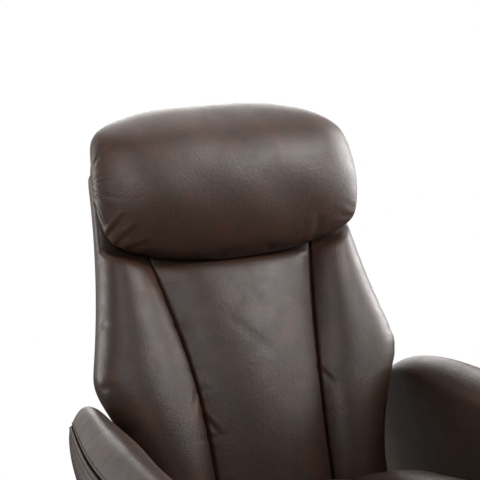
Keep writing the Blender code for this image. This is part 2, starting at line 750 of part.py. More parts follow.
def pillow_shape(a, b, c):
    """A full roll: a drooping lower edge, round shoulders, and a top that rolls back over the shell."""
    top = PILLOW_TOP - PILLOW_SHOULDER * abs(a) ** 4
    up = (b + 1) / 2
    top -= PILLOW_ROUND * c * c
    z = blend(pillow_line(a) + GAP, top, up)
    x = PILLOW_HALF * a * (1 - PILLOW_BARREL * b * b) * (1 - PILLOW_TUCK * ((c + 1) / 2) ** 2)
    front = blend(PILLOW_EDGE, PILLOW_FRONT, bulge(b) * bulge(a, 6))
    rear = BACK_EDGE + GAP - PILLOW_ROLL * max(0, (z - BACK_NECK - PILLOW_ROUND) / (PILLOW_TOP - BACK_NECK))
    y = blend(-front, -rear, (c + 1) / 2)
    return x, y, z


def back_shell_shape(a, b, c):
    """A channel up the back, open to the front: its outer skin at c = 1, the inner one a wall inside at c = -1."""
    wall = SHELL_WALL * (1 - c) / 2
    up = (b + 1) / 2
    z = blend(SHELL_BOTTOM, SHELL_TOP, up)
    rim = min(1, (1 - abs(a)) / SHELL_RIM)
    across = a / max(abs(a), 1 - SHELL_RIM)
    x = across * ((back_half_width(z) - SHELL_INSET) * blend(1, SHELL_TAPER, rim) - wall)
    depth = blend(SHELL_DEPTH, SHELL_TOP_DEPTH, up**4) - wall
    return x, blend(-BACK_INNER, depth, rim), z


def back_shell(back):
    """The outer back, with a rim that stays flat against the cushion."""
    shell = pad("back_shell", (8, 8, 1), back_shell_shape, back)
    crease = shell.data.attributes.new("crease_edge", "FLOAT", "EDGE")
    for edge in shell.data.edges:
        ends = [shell.data.vertices[index].co.y for index in edge.vertices]
        crease.data[edge.index].value = float(max(ends) < GAP - BACK_INNER)


def back_frame_parts(back):
    """A steel hoop on the pivot tube, with sinuous springs across it."""
    half = RAIL_INSIDE - RUNNING
    tube = bored(PIVOT_TUBE_RADIUS, HINGE_PIN_RADIUS + RUNNING, -half, half)
    turned("back_pivot_tube", tube, STEEL, back, rotation=ALONG_X)
    foot = PIVOT_TUBE_RADIUS + RUNNING
    corner = HOOP_TOP_HALF - HOOP_BEND
    bend = arc((corner, HOOP_TOP - HOOP_BEND), HOOP_BEND, 0, 90)
    half_hoop = [(HOOP_FOOT_HALF, foot), *bend]
    path = [(x, 0, z) for x, z in half_hoop] + [(-x, 0, z) for x, z in half_hoop[::-1]]
    rod("back_frame", path, HOOP_RADIUS, STEEL, back, sides=2)
    for number, height in enumerate(BACK_SPRING_HEIGHTS):
        share = (height - foot) / (HOOP_TOP - HOOP_BEND - foot)
        reach = blend(HOOP_FOOT_HALF, HOOP_TOP_HALF, share) - HOOP_RADIUS - RUNNING
        run = zigzag(-reach, reach, SPRING_SWING, SPRING_PITCH)
        points = [(along, 0, height + across) for along, across in run]
        rod(f"back_spring_{number + 1}", points, SPRING_WIRE, SPRING_STEEL, back, sides=0)


# Ottoman


def ottoman_pivot_parts(base, top):
    """A block on the hub carries a pin, and two ears under the pan rock on that pin."""
    half_depth = OTTOMAN_BLOCK_DEPTH / 2
    foot = OTTOMAN_HUB_TOP + GAP
    centre = (0, OTTOMAN_PIVOT)
    bore = circle(centre, OTTOMAN_PIN_RADIUS + RUNNING)
    outline = [(-half_depth, foot), (half_depth, foot), *arc(centre, OTTOMAN_EAR_RADIUS, 0, 180)]
    plate("ottoman_pivot_block", [outline, bore], 2 * OTTOMAN_BLOCK_HALF, STEEL, base)
    ear_top = OTTOMAN_PAN_UP - GAP
    bore = circle((0, 0), OTTOMAN_PIN_RADIUS + GAP)
    round_end = arc((0, 0), OTTOMAN_EAR_RADIUS, 180, 360)
    outline = [*round_end, (OTTOMAN_EAR_HALF, ear_top), (-OTTOMAN_EAR_HALF, ear_top)]
    ear_inside = OTTOMAN_BLOCK_HALF + RUNNING
    for name, side in SIDES.items():
        middle = side * (ear_inside + OTTOMAN_EAR_THICKNESS / 2)
        plate(f"ottoman_ear_{name}", [outline, bore], OTTOMAN_EAR_THICKNESS, STEEL, top, (middle, 0, 0))
    end = ear_inside + OTTOMAN_EAR_THICKNESS + GAP
    head = end + OTTOMAN_PIN_HEAD_LENGTH
    pin = [
        (0, head),
        (OTTOMAN_PIN_HEAD, head),
        (OTTOMAN_PIN_HEAD, end),
        (OTTOMAN_PIN_RADIUS, end),
        (OTTOMAN_PIN_RADIUS, -end),
        (OTTOMAN_PIN_HEAD, -end),
        (OTTOMAN_PIN_HEAD, -head),
        (0, -head),
    ]
    turned("ottoman_pin", pin, ZINC, top, rotation=ALONG_X)


def ottoman_cushion_shape(a, b, c):
    """Three sewn panels on a board, crowned all over."""
    x, t = three_panels(a, OTTOMAN_SEAM, OTTOMAN_HALF_WIDTH, PANEL_CROWD)
    y = OTTOMAN_HALF_DEPTH * b * (1 - 0.02 * t * t)
    bottom = OTTOMAN_PAN_UP + OTTOMAN_PAN_THICKNESS + GAP
    top = bottom + OTTOMAN_THICKNESS + OTTOMAN_CROWN * bulge(t, PANEL_FLATNESS) * bulge(b, 4)
    return x, y, blend(bottom, top, (c + 1) / 2)


def ottoman_top_parts(top):
    size = (
        2 * (OTTOMAN_HALF_WIDTH - OTTOMAN_PAN_INSET),
        2 * (OTTOMAN_HALF_DEPTH - OTTOMAN_PAN_INSET),
        OTTOMAN_PAN_THICKNESS,
    )
    middle = OTTOMAN_PAN_UP + OTTOMAN_PAN_THICKNESS / 2
    box("ottoman_pan", size, PLYWOOD, top, (0, 0, middle), OTTOMAN_PAN_THICKNESS / 7)
    pad("ottoman_cushion", (12, 6, 2), ottoman_cushion_shape, top)


# The whole set


def build():
    chair = add_empty("chair_place", None, (0, CHAIR_Y, 0))
    carrier = add_empty("swivel_axis", chair)
    seat = add_empty("seat_carriage", carrier, (0, 0, SEAT_FRAME_HEIGHT), (-SEAT_TILT, 0, 0))
    lean = SEAT_TILT - BACK_RECLINE
    back = add_empty("recline_axis", seat, (0, PIVOT_BACK, PIVOT_UP), (lean, 0, 0))
    floor_base("base", chair, CHAIR_RING_RADIUS, CHAIR_HUB_RADIUS, CHAIR_HUB_FOOT, POST_RADIUS + GAP)
    swivel_parts(chair, carrier)
    carrier_parts(carrier)
    recline_knobs(carrier)
    arms(carrier)
    seat_frame_parts(seat)
    seat_springs(seat)
    pad("seat_cushion", (12, 8, 2), seat_cushion_shape, seat)
    back_frame_parts(back)
    back_shell(back)
    pad("back_cushion", (9, BACK_ROWS, 2), back_cushion_shape, back)
    pad("headrest_pillow", (10, 5, 3), pillow_shape, back)
    ottoman = add_empty("ottoman_place", None, (0, OTTOMAN_Y, 0))
    top = add_empty("ottoman_tilt_axis", ottoman, (0, 0, OTTOMAN_PIVOT))
    floor_base("ottoman", ottoman, OTTOMAN_RING_RADIUS, OTTOMAN_HUB_RADIUS, OTTOMAN_HUB_FOOT, 0)
    ottoman_pivot_parts(ottoman, top)
    ottoman_top_parts(top)
    bpy.context.view_layer.update()
    for empty in (obj for obj in PARTS.objects if obj.type == "EMPTY"):
        print(empty.name, "at", [round(value, 5) for value in empty.matrix_world.translation])


build()
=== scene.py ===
import json
import math

import bpy
import numpy as np
from mathutils import Matrix, Vector


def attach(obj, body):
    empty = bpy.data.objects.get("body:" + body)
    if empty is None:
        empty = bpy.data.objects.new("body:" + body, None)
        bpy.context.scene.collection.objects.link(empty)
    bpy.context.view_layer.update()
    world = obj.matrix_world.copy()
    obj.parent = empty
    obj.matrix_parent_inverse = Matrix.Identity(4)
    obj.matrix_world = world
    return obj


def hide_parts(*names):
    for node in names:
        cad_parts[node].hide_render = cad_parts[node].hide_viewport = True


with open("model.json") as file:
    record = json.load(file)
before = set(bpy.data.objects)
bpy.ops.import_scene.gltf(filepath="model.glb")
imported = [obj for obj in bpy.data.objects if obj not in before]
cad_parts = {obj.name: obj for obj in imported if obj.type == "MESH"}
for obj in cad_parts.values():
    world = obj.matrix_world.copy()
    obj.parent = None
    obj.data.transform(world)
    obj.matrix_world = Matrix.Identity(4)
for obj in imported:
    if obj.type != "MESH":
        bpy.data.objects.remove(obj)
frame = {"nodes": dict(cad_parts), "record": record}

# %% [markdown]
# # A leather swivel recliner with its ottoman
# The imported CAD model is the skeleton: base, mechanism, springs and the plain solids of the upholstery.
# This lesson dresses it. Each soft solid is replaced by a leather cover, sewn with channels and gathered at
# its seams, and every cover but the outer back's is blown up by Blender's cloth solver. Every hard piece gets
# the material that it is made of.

scene = bpy.context.scene
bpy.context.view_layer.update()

# %% [markdown]
# ## Where things are
# The chair faces -Y. Seat and back are drawn in frames of their own, which lean with them, because a
# cushion's formula is simple there: x across, y to the rear, z away from what carries it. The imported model's
# joints say where swivel and hinges are, and one function brings points into the frame that all pieces share.
# All lengths are in metres.

# %% The leaning frames
SEAT_FRAME_HEIGHT = 0.262
SEAT_TILT = 8
BACK_LEAN = 20
joints = {row["name"]: row for row in frame["record"]["behaviour"]["joints"]}
CHAIR_Y = joints["swivel"]["pos_m"][1]
OTTOMAN_Y = joints["ottoman_tilt"]["pos_m"][1]
SEAT_FRAME = ((0, CHAIR_Y, SEAT_FRAME_HEIGHT), SEAT_TILT)
BACK_FRAME = (joints["recline"]["pos_m"], BACK_LEAN)
CHAIR_FRAME = ((0, CHAIR_Y, 0), 0)
OTTOMAN_FRAME = (joints["ottoman_tilt"]["pos_m"], 0)


def placed(points, leaning):
    """Points of a leaning frame in the shared frame: turned back about X, then moved to its origin."""
    origin, degrees = leaning
    cosine = math.cos(math.radians(degrees))
    sine = math.sin(math.radians(degrees))
    x, y, z = points.T
    return np.stack([x, y * cosine + z * sine, z * cosine - y * sine], 1) + np.array(origin)


print("recline pivot at", placed(np.zeros((1, 3)), BACK_FRAME)[0])

# %% [markdown]
# ## How a cover is cut
# An upholsterer sews flat panels into a bag. Here the bag is a box whose six faces are grids: the lists a, b
# and c say where its lines of points run, closer together beside a seam, so that the seam falls on a line of
# points. A formula then moves the whole box to its shape, and Catmull-Clark subdivision rounds its edges.

# %% Grids of a box


def cage(*lists):
    """Points and quads of a closed box: each face is a grid over two of the lists, with welded rims."""
    last = [len(values) - 1 for values in lists]
    corners, quads, start = [], [], 0
    for k in range(3):
        i, j = (k + 1) % 3, (k + 2) % 3
        u, v = np.meshgrid(np.arange(last[i] + 1), np.arange(last[j] + 1), indexing="ij")
        index = np.arange(u.size).reshape(u.shape)
        ring = [index[:-1, :-1], index[1:, :-1], index[1:, 1:], index[:-1, 1:]]
        loop = np.stack(ring, -1).reshape(-1, 4)
        for end, faces in ((0, loop[:, ::-1]), (last[k], loop)):
            grid = np.empty((u.size, 3), int)
            grid[:, i], grid[:, j], grid[:, k] = u.ravel(), v.ravel(), end
            corners.append(grid)
            quads.append(faces + start)
            start += u.size
    cells, weld = np.unique(np.concatenate(corners), axis=0, return_inverse=True)
    places = np.stack([np.asarray(lists[k], float)[cells[:, k]] for k in range(3)], 1)
    return places, weld.reshape(-1)[np.concatenate(quads)]


def mesh_of(name, points, faces, places=None):
    """A smooth mesh with its faces outwards. Its points can carry their places in the box along, as "abc"."""
    p = points[faces[:, :3]]
    inside_out = np.einsum("ij,ij->i", p[:, 0], np.cross(p[:, 1], p[:, 2])).sum() < 0
    mesh = bpy.data.meshes.new(name)
    mesh.from_pydata(points, [], faces[:, ::-1] if inside_out else faces)
    mesh.shade_smooth()
    if places is not None:
        layer = mesh.attributes.new("abc", "FLOAT_VECTOR", "POINT")
        layer.data.foreach_set("vector", places.astype(np.float32).ravel())
    return mesh


def cut(name, form, *lists):
    """A cover: the box over the lists, moved to its shape by the form."""
    places, quads = cage(*lists)
    return mesh_of(name, form(places), quads, places)


def triples(rows, field):
    """Three numbers from each row of a mesh's list, as one array."""
    flat = np.empty(len(rows) * 3, np.float32)
    rows.foreach_get(field, flat)
    return flat.reshape(-1, 3).astype(float)


def points_of(mesh):
    return triples(mesh.vertices, "co")


def normals_of(mesh):
    return triples(mesh.vertex_normals, "vector")


def places_of(mesh):
    return triples(mesh.attributes["abc"].data, "vector")


def moved(mesh, points):
    mesh.vertices.foreach_set("co", points.astype(np.float32).ravel())
    mesh.update()


def finer(mesh, levels):
    """The mesh cut finer and rounded by Catmull-Clark subdivision. Its attributes are shared out evenly."""
    holder = bpy.data.objects.new("holder", mesh)
    scene.collection.objects.link(holder)
    rounding = holder.modifiers.new("rounding", "SUBSURF")
    rounding.levels = levels
    rounding.render_levels = levels
    graph = bpy.context.evaluated_depsgraph_get()
    made = bpy.data.meshes.new_from_object(
        holder.evaluated_get(graph), preserve_all_data_layers=True, depsgraph=graph
    )
    bpy.data.objects.remove(holder)
    return made


def through(mesh, levels):
    """As finer(), but through the mesh's points: they first move out by what the rounding draws in."""
    goal = points_of(mesh)
    pushed = goal
    for _ in range(2):
        moved(mesh, pushed)
        pushed = pushed + goal - points_of(finer(mesh, levels))[: len(goal)]
    moved(mesh, pushed)
    return finer(mesh, levels)


# %% [markdown]
# ## How a cover is filled
# Foam under leather swells between the lines of stitching. The cloth solver shows that: the seams and the
# face that rests on the frame are held, an inner pressure pushes the rest outwards for twenty frames, and no
# point may move further than a cap.

# %% Filling a cover


def inflate(mesh, held, cap, pressure=4.0, frames=20):
    """Blows up a cover. Held points stay, and a move longer than the cap is cut back to it."""
    start = points_of(mesh)
    holder = bpy.data.objects.new("cover", mesh.copy())
    scene.collection.objects.link(holder)
    group = holder.vertex_groups.new(name="held")
    group.add(np.flatnonzero(held).tolist(), 1.0, "REPLACE")
    cloth = holder.modifiers.new("cover", "CLOTH")
    cloth.settings.quality = 5
    cloth.settings.vertex_group_mass = "held"
    cloth.settings.use_pressure = True
    cloth.settings.uniform_pressure_force = pressure
    cloth.settings.bending_stiffness = 2.0
    cloth.settings.effector_weights.gravity = 0
    cloth.point_cache.frame_start = 1
    cloth.point_cache.frame_end = frames
    for number in range(1, frames + 1):
        scene.frame_set(number)
    result = holder.evaluated_get(bpy.context.evaluated_depsgraph_get()).data
    step = points_of(result) - start
    bpy.data.objects.remove(holder)
    scene.frame_set(1)
    length = np.linalg.norm(step, axis=1)
    print(f"  filled: {1000 * length.mean():.1f} mm on average, {1000 * length.max():.1f} mm at most")
    moved(mesh, start + step * np.minimum(1, cap / np.maximum(length, 1e-9))[:, None])


# %% [markdown]
# ## Creases, gathers and soft dents
# Leather shows how it was sewn. A seam is a narrow groove. Where the panel is longer than its seam, it
# gathers into small folds across it. And a filled cover is never quite even. All three are heights along the
# normal.

# %% Heights that leather takes


def groove(distance, width, depth):
    """A round-bottomed groove: minus the depth times a bell curve of the distance from its line."""
    return -depth * np.exp(-((distance / width) ** 2))


def wave(along, pitch, seed):
    """An uneven wave from 0 to 1: four sines of unlike pitch with seeded phases."""
    phases = np.random.default_rng(seed).uniform(0, 2 * math.pi, 4)
    pitches = pitch * np.array([1.0, 0.71, 1.43, 2.3])
    sines = np.sin(2 * math.pi * along[:, None] / pitches + phases)
    return 0.5 + sines @ np.array([0.4, 0.25, 0.25, 0.1]) / 2


def gathers(along, distance, pitch, reach, depth, seed):
    """Folds across a seam: a sharpened wave along it, which fades with the distance from it."""
    folds = wave(along, pitch, seed) ** 3
    return -depth * folds * np.exp(-np.abs(distance) / reach)


def dents(points, size, depth, seed):
    """Soft unevenness: ten plane waves of about that size, in seeded directions."""
    rng = np.random.default_rng(seed)
    ways = rng.normal(size=(10, 3))
    ways *= (2 * math.pi / (size * rng.uniform(0.7, 1.6, 10)) / np.linalg.norm(ways, axis=1))[:, None]
    return depth * np.sin(points @ ways.T + rng.uniform(0, 2 * math.pi, 10)).sum(1) / 10**0.5


def fold(u, v, start, end, width, depth):
    """One drawn fold between two places of a map (u, v): a groove and a ridge beside it, with faded ends."""
    line = np.subtract(end, start)
    size = np.hypot(*line)
    along = ((u - start[0]) * line[0] + (v - start[1]) * line[1]) / size**2
    aside = ((v - start[1]) * line[0] - (u - start[0]) * line[1]) / size
    fade = np.clip(1 - np.abs(2 * along - 1), 0, 1) ** 0.5 * (np.abs(2 * along - 1) < 1)
    return depth * fade * (0.7 * np.exp(-((aside / width - 1.4) ** 2)) - np.exp(-((aside / width) ** 2)))


def raised(mesh, height):
    """Moves the points along their normals."""
    moved(mesh, points_of(mesh) + normals_of(mesh) * height[:, None])


def smooth_step(value, low, high):
    """0 below low and 1 above high, with a soft S between them."""
    share = np.clip((value - low) / (high - low), 0, 1)
    return share * share * (3 - 2 * share)


# %% [markdown]
# ## Shapes of the cushions
# They follow the formulas of the CAD solids, as whole arrays. Seat, back and ottoman have three panels side
# by side. A panel's own coordinate t runs from -1 at one seam to 1 at the next, and its crown is one minus a
# power of t: a high power gives a flat panel that drops steeply into the channel.

# %% Panels and crowns
GAP = 0.0003


def blend(low, high, share):
    return low + (high - low) * share


def crown(t, power=2.4):
    return 1 - np.abs(np.clip(t, -1, 1)) ** power


def three_panels(a, seam, half):
    """Across three panels: (x, t). The middle third of a spans the seams, the outer ones reach the sides."""
    share = 1.5 * a
    beyond = np.abs(share) - 0.5
    middle = beyond <= 1e-6
    x = np.where(middle, 2 * seam * share, np.sign(share) * (seam + (half - seam) * beyond))
    return x, np.where(middle, 2 * share, 2 * beyond - 1)


MIDDLE = np.array([-1, -0.86, -0.5, 0, 0.5, 0.86, 1]) / 3
OUTER = 1 / 3 + np.array([0.14, 0.5, 1.0, 1.5, 2.0]) / 3
ACROSS = np.concatenate([-OUTER[::-1], MIDDLE, OUTER])
THICK = np.array([-1, 0, 1])
print("lines of points across three panels:", len(ACROSS))

# %% [markdown]
# ## The back cushion
# The photograph shows three panels with two deep channels that spread towards the shoulders, a round foot
# behind the seat, and a thin neck that runs up behind the headrest. The neck shows as a strip at the side.

# %% Shape of the back
BACK_WIDE_HALF = 0.312
BACK_WIDE_UP = 0.285
BACK_FOOT = -0.060
BACK_FOOT_HALF = 0.240
BACK_SEAT_LINE = 0.060
BACK_TOP_HALF = 0.253
BACK_TOP = 0.740
BACK_NECK = 0.690
BACK_FRONT = 0.075
BACK_EDGE = 0.044
BACK_REAR = 0.0103
BACK_LUMBAR = 0.018
BACK_FLATNESS = 4.0
BACK_SEAM_FOOT = 0.115
BACK_SEAM_FLARE = 0.26
PILLOW_BOTTOM = 0.535
PILLOW_DROOP = 0.045


def back_half_width(z):
    """Half the back's width: widest beside the arms, drawn in by powers of the way to seat and head."""
    low = np.clip((BACK_WIDE_UP - z) / (BACK_WIDE_UP - BACK_SEAT_LINE), 0, 1)
    high = np.clip((z - BACK_WIDE_UP) / (BACK_TOP - BACK_WIDE_UP), 0, 1)
    to_foot = (BACK_WIDE_HALF - BACK_FOOT_HALF) * (1 - (1 - low) ** 1.6)
    to_head = (BACK_WIDE_HALF - BACK_TOP_HALF) * (1 - (1 - high) ** 2)
    return BACK_WIDE_HALF - to_foot - to_head


def pillow_line(a):
    """Height of the headrest's lower edge: a parabola that hangs lowest in the middle."""
    return PILLOW_BOTTOM - PILLOW_DROOP * (1 - a * a)


def back_seam(z):
    """Distance of a channel from the middle: it grows with the square of the height above the seat."""
    return BACK_SEAM_FOOT + BACK_SEAM_FLARE * np.maximum(0, z - BACK_SEAT_LINE) ** 2


def back_form(places):
    """The back over (a, b, c): b runs from 0 to 1 up to the headrest and to 1.2 up its neck, c to the rear.

    Its front is the panels' crowns plus one arch of a sine for the lumbar swell, rounded at the foot.
    """
    a, b, c = places.T
    line = pillow_line(a) - GAP
    up = np.minimum(1, b)
    z = blend(BACK_FOOT, line, up) + (BACK_NECK - line) * np.maximum(0, b - 1) / 0.2
    x, t = three_panels(a, back_seam(z), back_half_width(z))
    power = np.where(np.abs(a) > 1 / 3 + 1e-6, 0.8 * BACK_FLATNESS, BACK_FLATNESS)
    ends = np.where(b > 1.001, 0, crown(np.minimum(0, 2 * up - 1), 8))
    front = blend(BACK_EDGE, BACK_FRONT, crown(t, power) * ends)
    front += BACK_LUMBAR * np.sin(np.pi * np.clip(z / line, 0, 1))
    foot = np.sqrt(np.maximum(0, BACK_FRONT**2 - z * z))
    front = np.where(z < 0, np.minimum(front, foot), front)
    return np.stack([x, blend(-front, -BACK_REAR, (c + 1) / 2), z], 1)


UP_THE_BACK = np.concatenate([np.linspace(0, 1, 21), [1.005, 1.05, 1.1, 1.15, 1.2]])
back_mesh = finer(cut("back", back_form, ACROSS, UP_THE_BACK, THICK), 2)
print("back cushion:", len(back_mesh.vertices), "points before filling")

# %% [markdown]
# The seams and the rear are held while the panels fill. Then the channels get their sharp bottom, the seam
# beside each channel its gathers, and the places where the photograph shows a pull get a fold of their own.

# %% Filling and sewing the back
BACK_MEAN_HALF = 0.28
BACK_FOLDS = (
    # Start and end on the front, width and depth.
    ((-0.127, 0.214), (-0.098, 0.165), 0.0050, 0.0014),
    ((-0.131, 0.250), (-0.150, 0.200), 0.0050, 0.0012),
    ((0.120, 0.268), (0.148, 0.222), 0.0050, 0.0014),
    ((-0.060, 0.395), (0.036, 0.290), 0.0100, 0.0006),
)
a, b, c = places_of(back_mesh).T
on_seam = np.abs(np.abs(a) - 1 / 3) < 0.004
held = (on_seam & (c < 0)) | (c > 0.4) | (b > 0.99) | (b < 0.02)
inflate(back_mesh, held, cap=0.012)
back_mesh = finer(back_mesh, 1)
local = points_of(back_mesh)
x, y, z = local.T
a, b, c = places_of(back_mesh).T
front = smooth_step(-c, 0.5, 0.98)
aside = np.abs(x) - back_seam(z)
from_side = (1 - np.abs(a)) * BACK_MEAN_HALF
height = groove(aside, width=0.0022, depth=0.0044)
height += gathers(z + 0.1 * np.sign(x), aside, pitch=0.030, reach=0.014, depth=0.0018, seed=3) * (b < 1)
height += gathers(z + 0.3 * np.sign(x), from_side, pitch=0.040, reach=0.018, depth=0.0025, seed=5)
for start, end, width, depth in BACK_FOLDS:
    height += fold(x, z, start, end, width, depth)
height += dents(local, size=0.16, depth=0.0012, seed=7)
raised(back_mesh, front * height)
# Painted shade: how deep in a channel a point lies, which the leather paints darker.
crease_shade = front * np.exp(-((aside / 0.0019) ** 2))
print("back cushion:", len(back_mesh.polygons), "faces")

# %% [markdown]
# ## From cover to piece
# Every cover ends the same way: its points go to their place, it carries a fact for the leather's colour (how
# deep in a crease a point lies, where shade is painted), it rides on its CAD body, and the CAD solid that it
# covers is hidden.

# %% Making a cover a piece
leather_pieces = []


def upholster(name, mesh, leaning, body, node, crease_shade):
    """A finished leather piece in the shared frame, riding on its body, with its CAD solid hidden."""
    moved(mesh, placed(points_of(mesh), leaning))
    mesh.attributes.remove(mesh.attributes["abc"])
    # The crease attribute carries painted shade: the leather is painted darker and less glossy the deeper a
    # point lies in a crease.
    layer = mesh.attributes.new("crease_shade", "FLOAT", "POINT")
    layer.data.foreach_set("value", crease_shade.astype(np.float32))
    mesh.shade_smooth()
    piece = bpy.data.objects.new(name, mesh)
    scene.collection.objects.link(piece)
    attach(piece, body)
    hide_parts(node)
    leather_pieces.append(piece)
    print(f"{name}: {len(mesh.polygons)} faces")


upholster("back_cushion_leather", back_mesh, BACK_FRAME, "back", "back_cushion", crease_shade)

# %% [markdown]
# ## The headrest
# A full roll, fixed to the back. Its lower edge hangs like a smile, its shoulders are round and its top rolls
# back over the shell.

# %% Shape of the headrest
PILLOW_HALF = 0.274
PILLOW_TOP = 0.804
PILLOW_SHOULDERS = (0.048, 0.060)
PILLOW_ROUND = 0.024
PILLOW_BARREL = 0.06
PILLOW_TUCK = 0.12
PILLOW_LOWER_EDGE = 0.097
PILLOW_UPPER_EDGE = 0.122
PILLOW_FRONT = 0.160
PILLOW_BELLY = 0.4
PILLOW_REAR = 0.0443
PILLOW_ROLL = 0.100
PILLOW_ROLL_FROM = 0.714
PILLOW_ROLL_HEIGHT = 0.114


def pillow_form(places):
    """The roll over (a, b, c): an edge line below, a top that falls by a fourth power, a front that swells.

    The two shoulders fall by unlike amounts, as in the photograph, and the rear rolls back over the shell.
    """
    a, b, c = places.T
    shoulder = np.where(a < 0, *PILLOW_SHOULDERS)
    top = PILLOW_TOP - shoulder * a**4 - PILLOW_ROUND * c * c
    z = blend(pillow_line(a) + GAP, top, (b + 1) / 2)
    x = PILLOW_HALF * a * (1 - PILLOW_BARREL * b * b) * (1 - PILLOW_TUCK * ((c + 1) / 2) ** 2)
    reach = np.where(b > PILLOW_BELLY, 1 - PILLOW_BELLY, 1 + PILLOW_BELLY)
    swell = crown((b - PILLOW_BELLY) / reach) * crown(a, 6)
    front = blend(blend(PILLOW_LOWER_EDGE, PILLOW_UPPER_EDGE, (b + 1) / 2), PILLOW_FRONT, swell)
    rear = PILLOW_REAR - PILLOW_ROLL * np.maximum(0, (z - PILLOW_ROLL_FROM) / PILLOW_ROLL_HEIGHT)
    return np.stack([x, blend(-front, -rear, (c + 1) / 2), z], 1)


lists = [np.linspace(-1, 1, count) for count in (11, 6, 4)]
pillow_mesh = through(finer(cut("pillow", pillow_form, *lists), 1), 2)
a, b, c = places_of(pillow_mesh).T
inflate(pillow_mesh, (c > 0.3) | (np.abs(a) > 0.995), cap=0.006)
pillow_mesh = finer(pillow_mesh, 1)

# %% [markdown]
# The end panels are sewn in with gathers, which pull folds into the front, more of them at the -X end, as in
# the photograph.

# %% Sewing the headrest
END_SEAM = -0.3
END_SLANT = 0.040
END_MIDDLE = (-0.085, 0.65)
END_RADIUS = 0.14
PILLOW_FOLDS = (
    # Start and end on the front, width and depth.
    ((-0.262, 0.520), (-0.205, 0.560), 0.0050, 0.0028),
    ((-0.250, 0.515), (-0.180, 0.532), 0.0050, 0.0024),
    ((-0.262, 0.545), (-0.225, 0.585), 0.0050, 0.0026),
    ((0.155, 0.502), (0.165, 0.545), 0.0110, 0.0022),
)
local = points_of(pillow_mesh)
x, y, z = local.T
a, b, c = places_of(pillow_mesh).T
round_the_end = np.arctan2(z - END_MIDDLE[1], END_MIDDLE[0] - y) * END_RADIUS
from_seam = (1 - np.abs(a)) * PILLOW_HALF - (c - END_SEAM) * END_SLANT
inside = np.maximum(0, from_seam)
pull = np.where(x < 0, 0.0100, 0.0030)
height = gathers(round_the_end + 0.4 * np.sign(x), inside, pitch=0.046, reach=0.020, depth=pull, seed=11)
height += groove(from_seam, width=0.0040, depth=0.0035)
height += dents(local, size=0.14, depth=0.0012, seed=13)
for start, end, width, depth in PILLOW_FOLDS:
    height += smooth_step(-c, 0.2, 0.9) * fold(x, z, start, end, width, depth)
raised(pillow_mesh, height)
# Painted shade: how deep in the end seam a point lies, which the leather paints darker.
crease_shade = np.exp(-((from_seam / 0.005) ** 2))
upholster("headrest_leather", pillow_mesh, BACK_FRAME, "back", "headrest_pillow", crease_shade)

# %% [markdown]
# ## The seat
# Three panels again, whose channels lie wider apart at the front. Only its rear edge shows in the photograph,
# so its front and sides are drawn as such cushions have them: boxed, with one seam round them. The ottoman is
# sewn in the same way, so one function fills and sews both.

# %% The seat cushion
SEAT_HALF = 0.296
SEAT_FRONT = -0.335
SEAT_REAR = 0.168
SEAT_UNDERSIDE = 0.0352
SEAT_THICKNESS = 0.112
SEAT_CROWN = 0.026
SEAT_ROLL = 0.030
SEAT_SEAMS = (0.145, 0.118)
SEAT_SIDE_SEAM = 0.120


def boxed(mesh, seams, side_seam, dent_size, seeds):
    """A cushion with three top panels and boxed sides, filled and sewn: (mesh, how deep in a crease).

    The channels and the underside are held. The seams give the channels' distance from the middle in front
    and behind, and side_seam is the height of the seam that runs round the sides.
    """
    a, b, c = places_of(mesh).T
    on_seam = np.abs(np.abs(a) - 1 / 3) < 0.004
    inflate(mesh, (on_seam & (c > 0)) | (c < -0.4), cap=0.008)
    mesh = finer(mesh, 1)
    local = points_of(mesh)
    x, y, z = local.T
    a, b, c = places_of(mesh).T
    top = smooth_step(c, 0.6, 0.98)
    side = smooth_step(np.maximum(np.abs(a), np.abs(b)), 0.97, 0.999) * (1 - top)
    aside = np.abs(x) - blend(*seams, (b + 1) / 2)
    below = z - side_seam
    on_top = groove(aside, width=0.0028, depth=0.0040)
    on_top += gathers(y + 0.2 * np.sign(x), aside, pitch=0.034, reach=0.016, depth=0.0022, seed=seeds[0])
    on_side = groove(below, width=0.0035, depth=0.0030)
    on_side += gathers(x + y, below, pitch=0.030, reach=0.014, depth=0.0020, seed=seeds[1])
    on_top += dents(local, dent_size, depth=0.0014, seed=seeds[2])
    raised(mesh, top * on_top + side * on_side)
    # The second value is painted shade: how deep in a channel or the side seam a point lies, which the leather
    # paints darker.
    return mesh, top * np.exp(-((aside / 0.003) ** 2)) + side * np.exp(-((below / 0.005) ** 2))


def seat_form(places):
    """The seat over (a, b, c): b to the rear, c upwards, crowned panels that roll down at the outer sides."""
    a, b, c = places.T
    seam = blend(*SEAT_SEAMS, (b + 1) / 2)
    x, t = three_panels(a, seam, SEAT_HALF)
    y = blend(SEAT_FRONT, SEAT_REAR, (b + 1) / 2)
    rolled = np.maximum(0, np.abs(x) - seam) / (SEAT_HALF - seam)
    swell = SEAT_CROWN * crown(t, 4) * crown(b, 4)
    top = SEAT_UNDERSIDE + SEAT_THICKNESS + swell - SEAT_ROLL * rolled**2
    return np.stack([x, y, blend(SEAT_UNDERSIDE, top, (c + 1) / 2)], 1)


seat_mesh = finer(cut("seat", seat_form, ACROSS, np.linspace(-1, 1, 13), THICK), 2)
seat_mesh, crease_shade = boxed(seat_mesh, SEAT_SEAMS, SEAT_SIDE_SEAM, dent_size=0.17, seeds=(17, 19, 23))
upholster("seat_cushion_leather", seat_mesh, SEAT_FRAME, "seat", "seat_cushion", crease_shade)

# %% [markdown]
# ## The arms
# A broad pad with a round crest that narrows to a tip at the rear. The top panel is sewn to the outer side
# along the shoulder with two rows of stitches, and gathers into short folds beside them.

